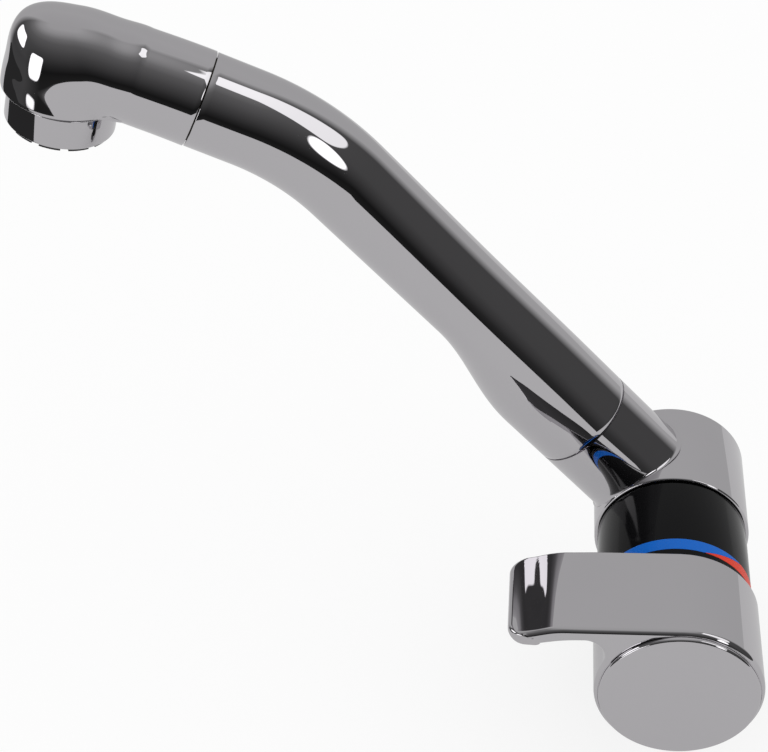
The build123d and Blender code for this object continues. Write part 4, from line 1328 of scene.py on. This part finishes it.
        radius, soft, chamfer = self.head_radius, self.seam_edge, self.chamfer
        rows = []
        for wide, along in ((self.head_bore, 0.0), (radius - soft, 0.0), (radius - chamfer, chamfer)):
            rows.append(self.neck(self.seam + along).ring(wide, 0.0, self.around))
        for along in spaced(self.seam + soft, straight, self.neck_rows):
            rows.append(self.neck(along).ring(radius - self.neck_taper * along, 0.0, self.around))
        ends = []
        for turn in self.turns:
            ends.append(self._crossing(lambda a: (shell_point(a, turn) - seam).dot(low) + self.elbow_lip))
        for share in spaced(0.0, 1.0, self.elbow_rows)[1:]:
            rows.append([shell_point(end * share, turn) for end, turn in zip(ends, self.turns)])
        rim = rows[-1]
        for share in spaced(0.0, 1.0, self.lip_rows)[1:]:
            rows.append([self._lip(spot, seam, low, share) for spot in rim])
        inner, room = [], self.nozzle_radius - self.lip_inset
        for spot in rows[-1]:
            spoke = spot - seam
            inner.append(seam + spoke.normalized() * min(spoke.length, room))
        skin.patch([*rows, inner])
        return skin.made(CHROME, Slot.CHROME, Body.HEAD, ["spout_head"])

    def nozzle_seam(self) -> Vector:
        """Return the centre of the seam between the elbow and the nozzle's ring."""
        return self.head_seam() + self.high * self.head_reach + self.down * self.nozzle_drop

    def neck(self, reach: float) -> Axle:
        """Follow the neck from the head's seam.

        Args:
            reach: Millimetres along the neck, which bends a little after the seam.

        Returns:
            The frame, whose origin is the neck's middle.
        """
        steps, spot = self.neck_steps, self.head_seam()
        turn = self.neck_angle - self.head_angle
        for i in range(steps):
            place = (i + 0.5) * reach / steps
            angle = self.head_angle + turn * eased(place / self.neck_bend)
            spot = spot + spout_direction(angle) * (reach / steps)
        return spout_axle(spot, spout_direction(self.head_angle + turn * eased(reach / self.neck_bend)))

    def elbow_pivot(self) -> tuple[Vector, float]:
        """Find where the elbow turns, from the neck's and the nozzle's lines.

        Returns:
            The point that its sections fan about, and the neck's length before it.
        """
        low = self.down
        bent = self.neck(self.neck_bend)
        gap = self.nozzle_seam() - bent.origin
        cross = bent.along.x * low.z - bent.along.z * low.x
        ahead = (gap.x * low.z - gap.z * low.x) / cross
        corner = bent.origin + bent.along * ahead
        sharp = bent.along.angle(-low)
        nozzle_room = self.elbow_half_widths[-1] + self.elbow_gap
        neck_room = self.elbow_heights[0] / 2 + self.elbow_gap
        back = (nozzle_room + neck_room * math.cos(sharp)) / math.sin(sharp)
        return corner - bent.along * back - bent.out * neck_room, self.neck_bend + ahead - back

    def _crossing(self, depth: Callable[[float], float]) -> float:
        """Find where a line of the shell meets the lip.

        Args:
            depth: Gives how far past the lip the line is, for an angle of the bend.

        Returns:
            The angle of the bend.
        """
        if depth(0.0) >= 0.0:
            return 0.0
        low, high = 0.0, self.elbow_turn
        for _ in range(self.halvings):
            middle = (low + high) / 2
            low, high = (middle, high) if depth(middle) < 0.0 else (low, middle)
        return high

    @staticmethod
    def _lip(spot: Vector, seam: Vector, low: Vector, share: float) -> Vector:
        """Place a point of the rounded lip under the elbow.

        Args:
            spot: The shell's last point above the lip.
            seam: The seam's centre.
            low: The nozzle's direction.
            share: How far round the lip, from 0 to 1.

        Returns:
            The point, which lies on the seam's face for a share of 1.
        """
        depth = (spot - seam).dot(low)
        spoke = (spot - seam - low * depth).normalized()
        angle = math.pi / 2 * share
        inset = max(0.0, -depth) * (1.0 - math.cos(angle))
        return spot - low * (depth * math.sin(angle)) - spoke * inset

    def nozzle(self) -> bpy.types.Object:
        """Build the ring under the elbow.

        Returns:
            The new piece.
        """
        seam = spout_axle(self.nozzle_seam(), self.down)
        skin = Skin("nozzle_collar")
        radius, top, end, bore = self.nozzle_radius, self.ring_gap, self.ring_height, self.rim_bore
        corners = [(radius - self.ring_top, top, 0.0), (radius, top, self.ring_round)]
        corners += [(radius, end, self.ring_edge), (bore, end, self.rim_round)]
        corners.append((bore, end - self.rim_depth, 0.0))
        skin.patch(seam.turned(soft_corners(corners, self.ring_steps), self.around))
        return skin.made(CHROME, Slot.CHROME, Body.HEAD, ["nozzle_ring"])

    def build(self) -> None:
        """Build every piece of the spout."""
        self.knuckle()
        self.end_cap()
        self.tube()
        self.elbow()
        self.nozzle()


@dataclass
class Base:
    """Chromed ring on the worktop."""

    radius: float = 19.5
    low: float = 1.5
    rim: float = 2.5
    top: float = 9.0
    shoulder: float = 14.6
    bore: float = 9.1
    low_round: float = 0.4
    rim_round: float = 1.2
    shoulder_round: float = 1.0
    steps: int = 8
    facets: int = 160

    def build(self) -> None:
        """Build the ring."""
        skin = Skin("base_ring")
        corners = [(self.bore, self.low, 0.0), (self.radius, self.low, self.low_round)]
        corners.append((self.radius, self.low + self.rim, self.rim_round))
        corners += [(self.shoulder, self.top, self.shoulder_round), (self.bore, self.top, 0.0)]
        skin.patch(POST.turned(soft_corners(corners, self.steps), self.facets))
        skin.made(CHROME, Slot.CHROME, Body.BASE, ["base_flange"])


def dress_solids() -> None:
    """Give every solid that still shows the finish of its record slot."""
    slots = {row["node"]: row["material_slot"] for row in frame["record"]["subparts"]}
    for name, piece in frame["nodes"].items():
        # The head's nipple takes the brass darkened as painted seam shade, not its slot's finish.
        finish = SEAM_SHADE_FINISH.get(name, NODE_FINISH[slots[name]])
        piece.data.materials.clear()
        piece.data.materials.append(finish.material())
        LOG.info("%s: %s", name, finish.name)


# Studio


@dataclass(frozen=True)
class Softbox:
    """A bright patch of the room, placed by azimuth and elevation in degrees."""

    azimuth: float
    elevation: float
    half_width: float
    half_height: float
    level: float
    tilt: float = 0.0
    slant: float = 0.0
    corner: float = 5.0
    fade: float = 0.25

    def light(self, azimuth: Value, elevation: Value) -> Value:
        """Return the patch's light.

        Args:
            azimuth: Degrees from +Y towards +X.
            elevation: Degrees above the horizon.

        Returns:
            The level inside the patch, and 0 outside it.
        """
        turn = math.radians(self.tilt)
        up = elevation - self.elevation
        across = (azimuth - self.azimuth) * math.cos(math.radians(self.elevation)) + up * self.slant
        u = abs(across * math.cos(turn) + up * math.sin(turn)) / self.half_width
        v = abs(up * math.cos(turn) - across * math.sin(turn)) / self.half_height
        return (1.0 - (u**self.corner + v**self.corner)).ramp(0.0, self.fade) * self.level


@dataclass
class Studio:
    """Floor, room and camera."""

    lens: float = 96.84
    film: float = 36.0
    nearest: float = 0.01
    camera_place: Triple = (-0.052055, -0.449750, 0.464683)
    camera_azimuth: float = 4.269
    camera_elevation: float = 38.286
    table_radius: float = 0.9
    table_sides: int = 96
    table_colour: Colour = (0.92, 0.92, 0.92)
    table_glow: float = 0.58
    table_share: float = 0.8
    card_height: float = 0.0008
    card_level: float = 0.03
    card_corners: tuple[Point, ...] = (
        (-0.30, -0.09), (-0.83, -0.58), (-1.2, -0.2),
        (-1.2, 0.5), (-0.95, 0.48), (-0.32, 0.114),
    )
    front_levels: tuple[Point, ...] = (
        (0.0, 0.58), (0.42, 0.45), (0.435, 0.02), (0.5, 0.012), (0.555, 0.03),
        (0.667, 0.08), (0.778, 0.14), (0.835, 0.22), (0.90, 0.40), (0.96, 0.50),
    )
    back_levels: tuple[Point, ...] = ((0.0, 0.55), (0.45, 0.50), (0.75, 0.54), (1.0, 0.50))
    dark_from: Point = (50.0, 68.0)
    side_until: Point = (118.0, 150.0)
    side_below: Point = (5.0, 35.0)
    side_level: float = 0.055
    boxes: tuple[Softbox, ...] = (
        Softbox(-93.5, 22.5, 18.0, 13.0, 1.9),
        Softbox(-141.0, 5.0, 12.0, 14.0, 1.9, slant=0.35),
        Softbox(96.5, 49.4, 15.4, 16.8, 1.2, corner=9.0, fade=0.3),
        Softbox(134.5, 24.5, 15.5, 6.5, 1.9, tilt=-44.0, corner=2.0),
    )

    def camera(self) -> None:
        """Place the camera as the photograph was taken."""
        data = bpy.data.cameras.new("photo_camera")
        data.lens = self.lens
        data.sensor_width = self.film
        data.sensor_fit = "HORIZONTAL"
        data.clip_start = self.nearest
        seen = placed("photo_camera", data)
        seen.location = self.camera_place
        pitch = math.radians(90.0 - self.camera_elevation)
        seen.rotation_euler = (pitch, 0.0, math.radians(self.camera_azimuth))
        bpy.context.scene.camera = seen

    @staticmethod
    def _sheet(
        name: str, corners: Sequence[Point], height: float, surface: str
    ) -> tuple[bpy.types.Object, Nodes]:
        """Lay a flat sheet with a material of its own.

        Args:
            name: The sheet's name.
            corners: Its corners in metres.
            height: Its height above the worktop in metres.
            surface: The material's name.

        Returns:
            The sheet, and its material's empty node tree.
        """
        mesh = bpy.data.meshes.new(name)
        mesh.from_pydata([(x, y, height) for x, y in corners], [], [tuple(range(len(corners)))])
        made, nodes = new_material(surface)
        mesh.materials.append(made)
        return placed(name, mesh), nodes

    def floor(self) -> None:
        """Lay the worktop: near white to the camera, and dimmer in polished metal."""
        radius = self.table_radius
        rim = [(radius * math.cos(turn), radius * math.sin(turn)) for turn in circle(self.table_sides)]
        top, nodes = self._sheet("worktop", rim, 0.0, "pale_worktop")
        rays = nodes.add("ShaderNodeLightPath").outputs
        shader = nodes.add("ShaderNodeBsdfDiffuse", {}, {"Color": self.table_colour}).outputs[0]
        for ray, level in (("Is Camera Ray", 1.0), ("Is Glossy Ray", self.table_glow)):
            share = Value(nodes, rays[ray]) * self.table_share
            inputs = {0: share, 1: shader, 2: nodes.glow(level)}
            shader = nodes.add("ShaderNodeMixShader", {}, inputs).outputs[0]
        nodes.surface(shader)

    def card(self) -> None:
        """Lay a dark card on the worktop, which only polished metal shows."""
        card, nodes = self._sheet("left_card", self.card_corners, self.card_height, "left_card")
        nodes.surface(nodes.glow(self.card_level))
        card.visible_camera = False
        card.visible_diffuse = False
        card.visible_shadow = False

    def room(self, nodes: Nodes) -> Value:
        """Spread the room's light by direction, as polished metal shows it.

        Args:
            nodes: The world's nodes.

        Returns:
            The light, where 1 is white.
        """
        way = nodes.add("ShaderNodeTexCoord").outputs["Generated"]
        parts = nodes.add("ShaderNodeSeparateXYZ", {}, {0: way}).outputs
        x, y, z = (Value(nodes, part) for part in parts)
        degrees = 180.0 / math.pi
        elevation = nodes.value("ShaderNodeMath", {"operation": "ARCSINE"}, {0: z}) * degrees
        azimuth = nodes.value("ShaderNodeMath", {"operation": "ARCTAN2"}, {0: x, 1: y}) * degrees
        turned = abs(azimuth)
        place = (elevation + 90.0) / 180.0
        front, back = (self._profile(place, levels) for levels in (self.front_levels, self.back_levels))
        side = (1.0 - turned.ramp(*self.side_until)) * (1.0 - elevation.ramp(*self.side_below))
        side = side * self.side_level
        dark = turned.ramp(*self.dark_from)
        light = back * (1.0 - dark) + (front + side) * dark
        for box in self.boxes:
            light = light + box.light(azimuth, elevation)
        return light

    @staticmethod
    def _profile(place: Value, levels: Sequence[Point]) -> Value:
        """Return the light at a place from 0 straight down to 1 straight up, between given levels."""
        settings = {"stops": [(spot, (level, level, level)) for spot, level in levels]}
        return place.nodes.value("ShaderNodeValToRGB", settings, {"Fac": place}, "Color")

    def world(self) -> None:
        """Give the room its light: plain for dull surfaces, white behind the object."""
        world = bpy.data.worlds.new("studio_room")
        bpy.context.scene.world = world
        world.use_nodes = True
        world.cycles.sampling_method = "NONE"
        nodes = Nodes(world.node_tree)
        rays = nodes.add("ShaderNodeLightPath")
        mirrored = Value(nodes, rays.outputs["Is Glossy Ray"])
        strength = self.room(nodes) * mirrored + (1.0 - mirrored)
        shader = nodes.add("ShaderNodeBackground", {}, {"Color": WHITE, "Strength": strength})
        nodes.add("ShaderNodeOutputWorld", {}, {"Surface": shader.outputs[0]})

    def build(self) -> None:
        """Set up the whole studio."""
        bpy.context.scene.view_settings.view_transform = "Standard"
        self.camera()
        self.floor()
        self.card()
        self.world()


def main() -> None:
    """Build the tap's looks and its studio."""
    logging.basicConfig(level=logging.INFO, format="%(name)s: %(message)s")
    Studio().build()
    barrel = Barrel()
    for part in (Handle(barrel), Sleeve(barrel), Spout(barrel), Base()):
        part.build()
    dress_solids()


if __name__ == "__main__":
    main()
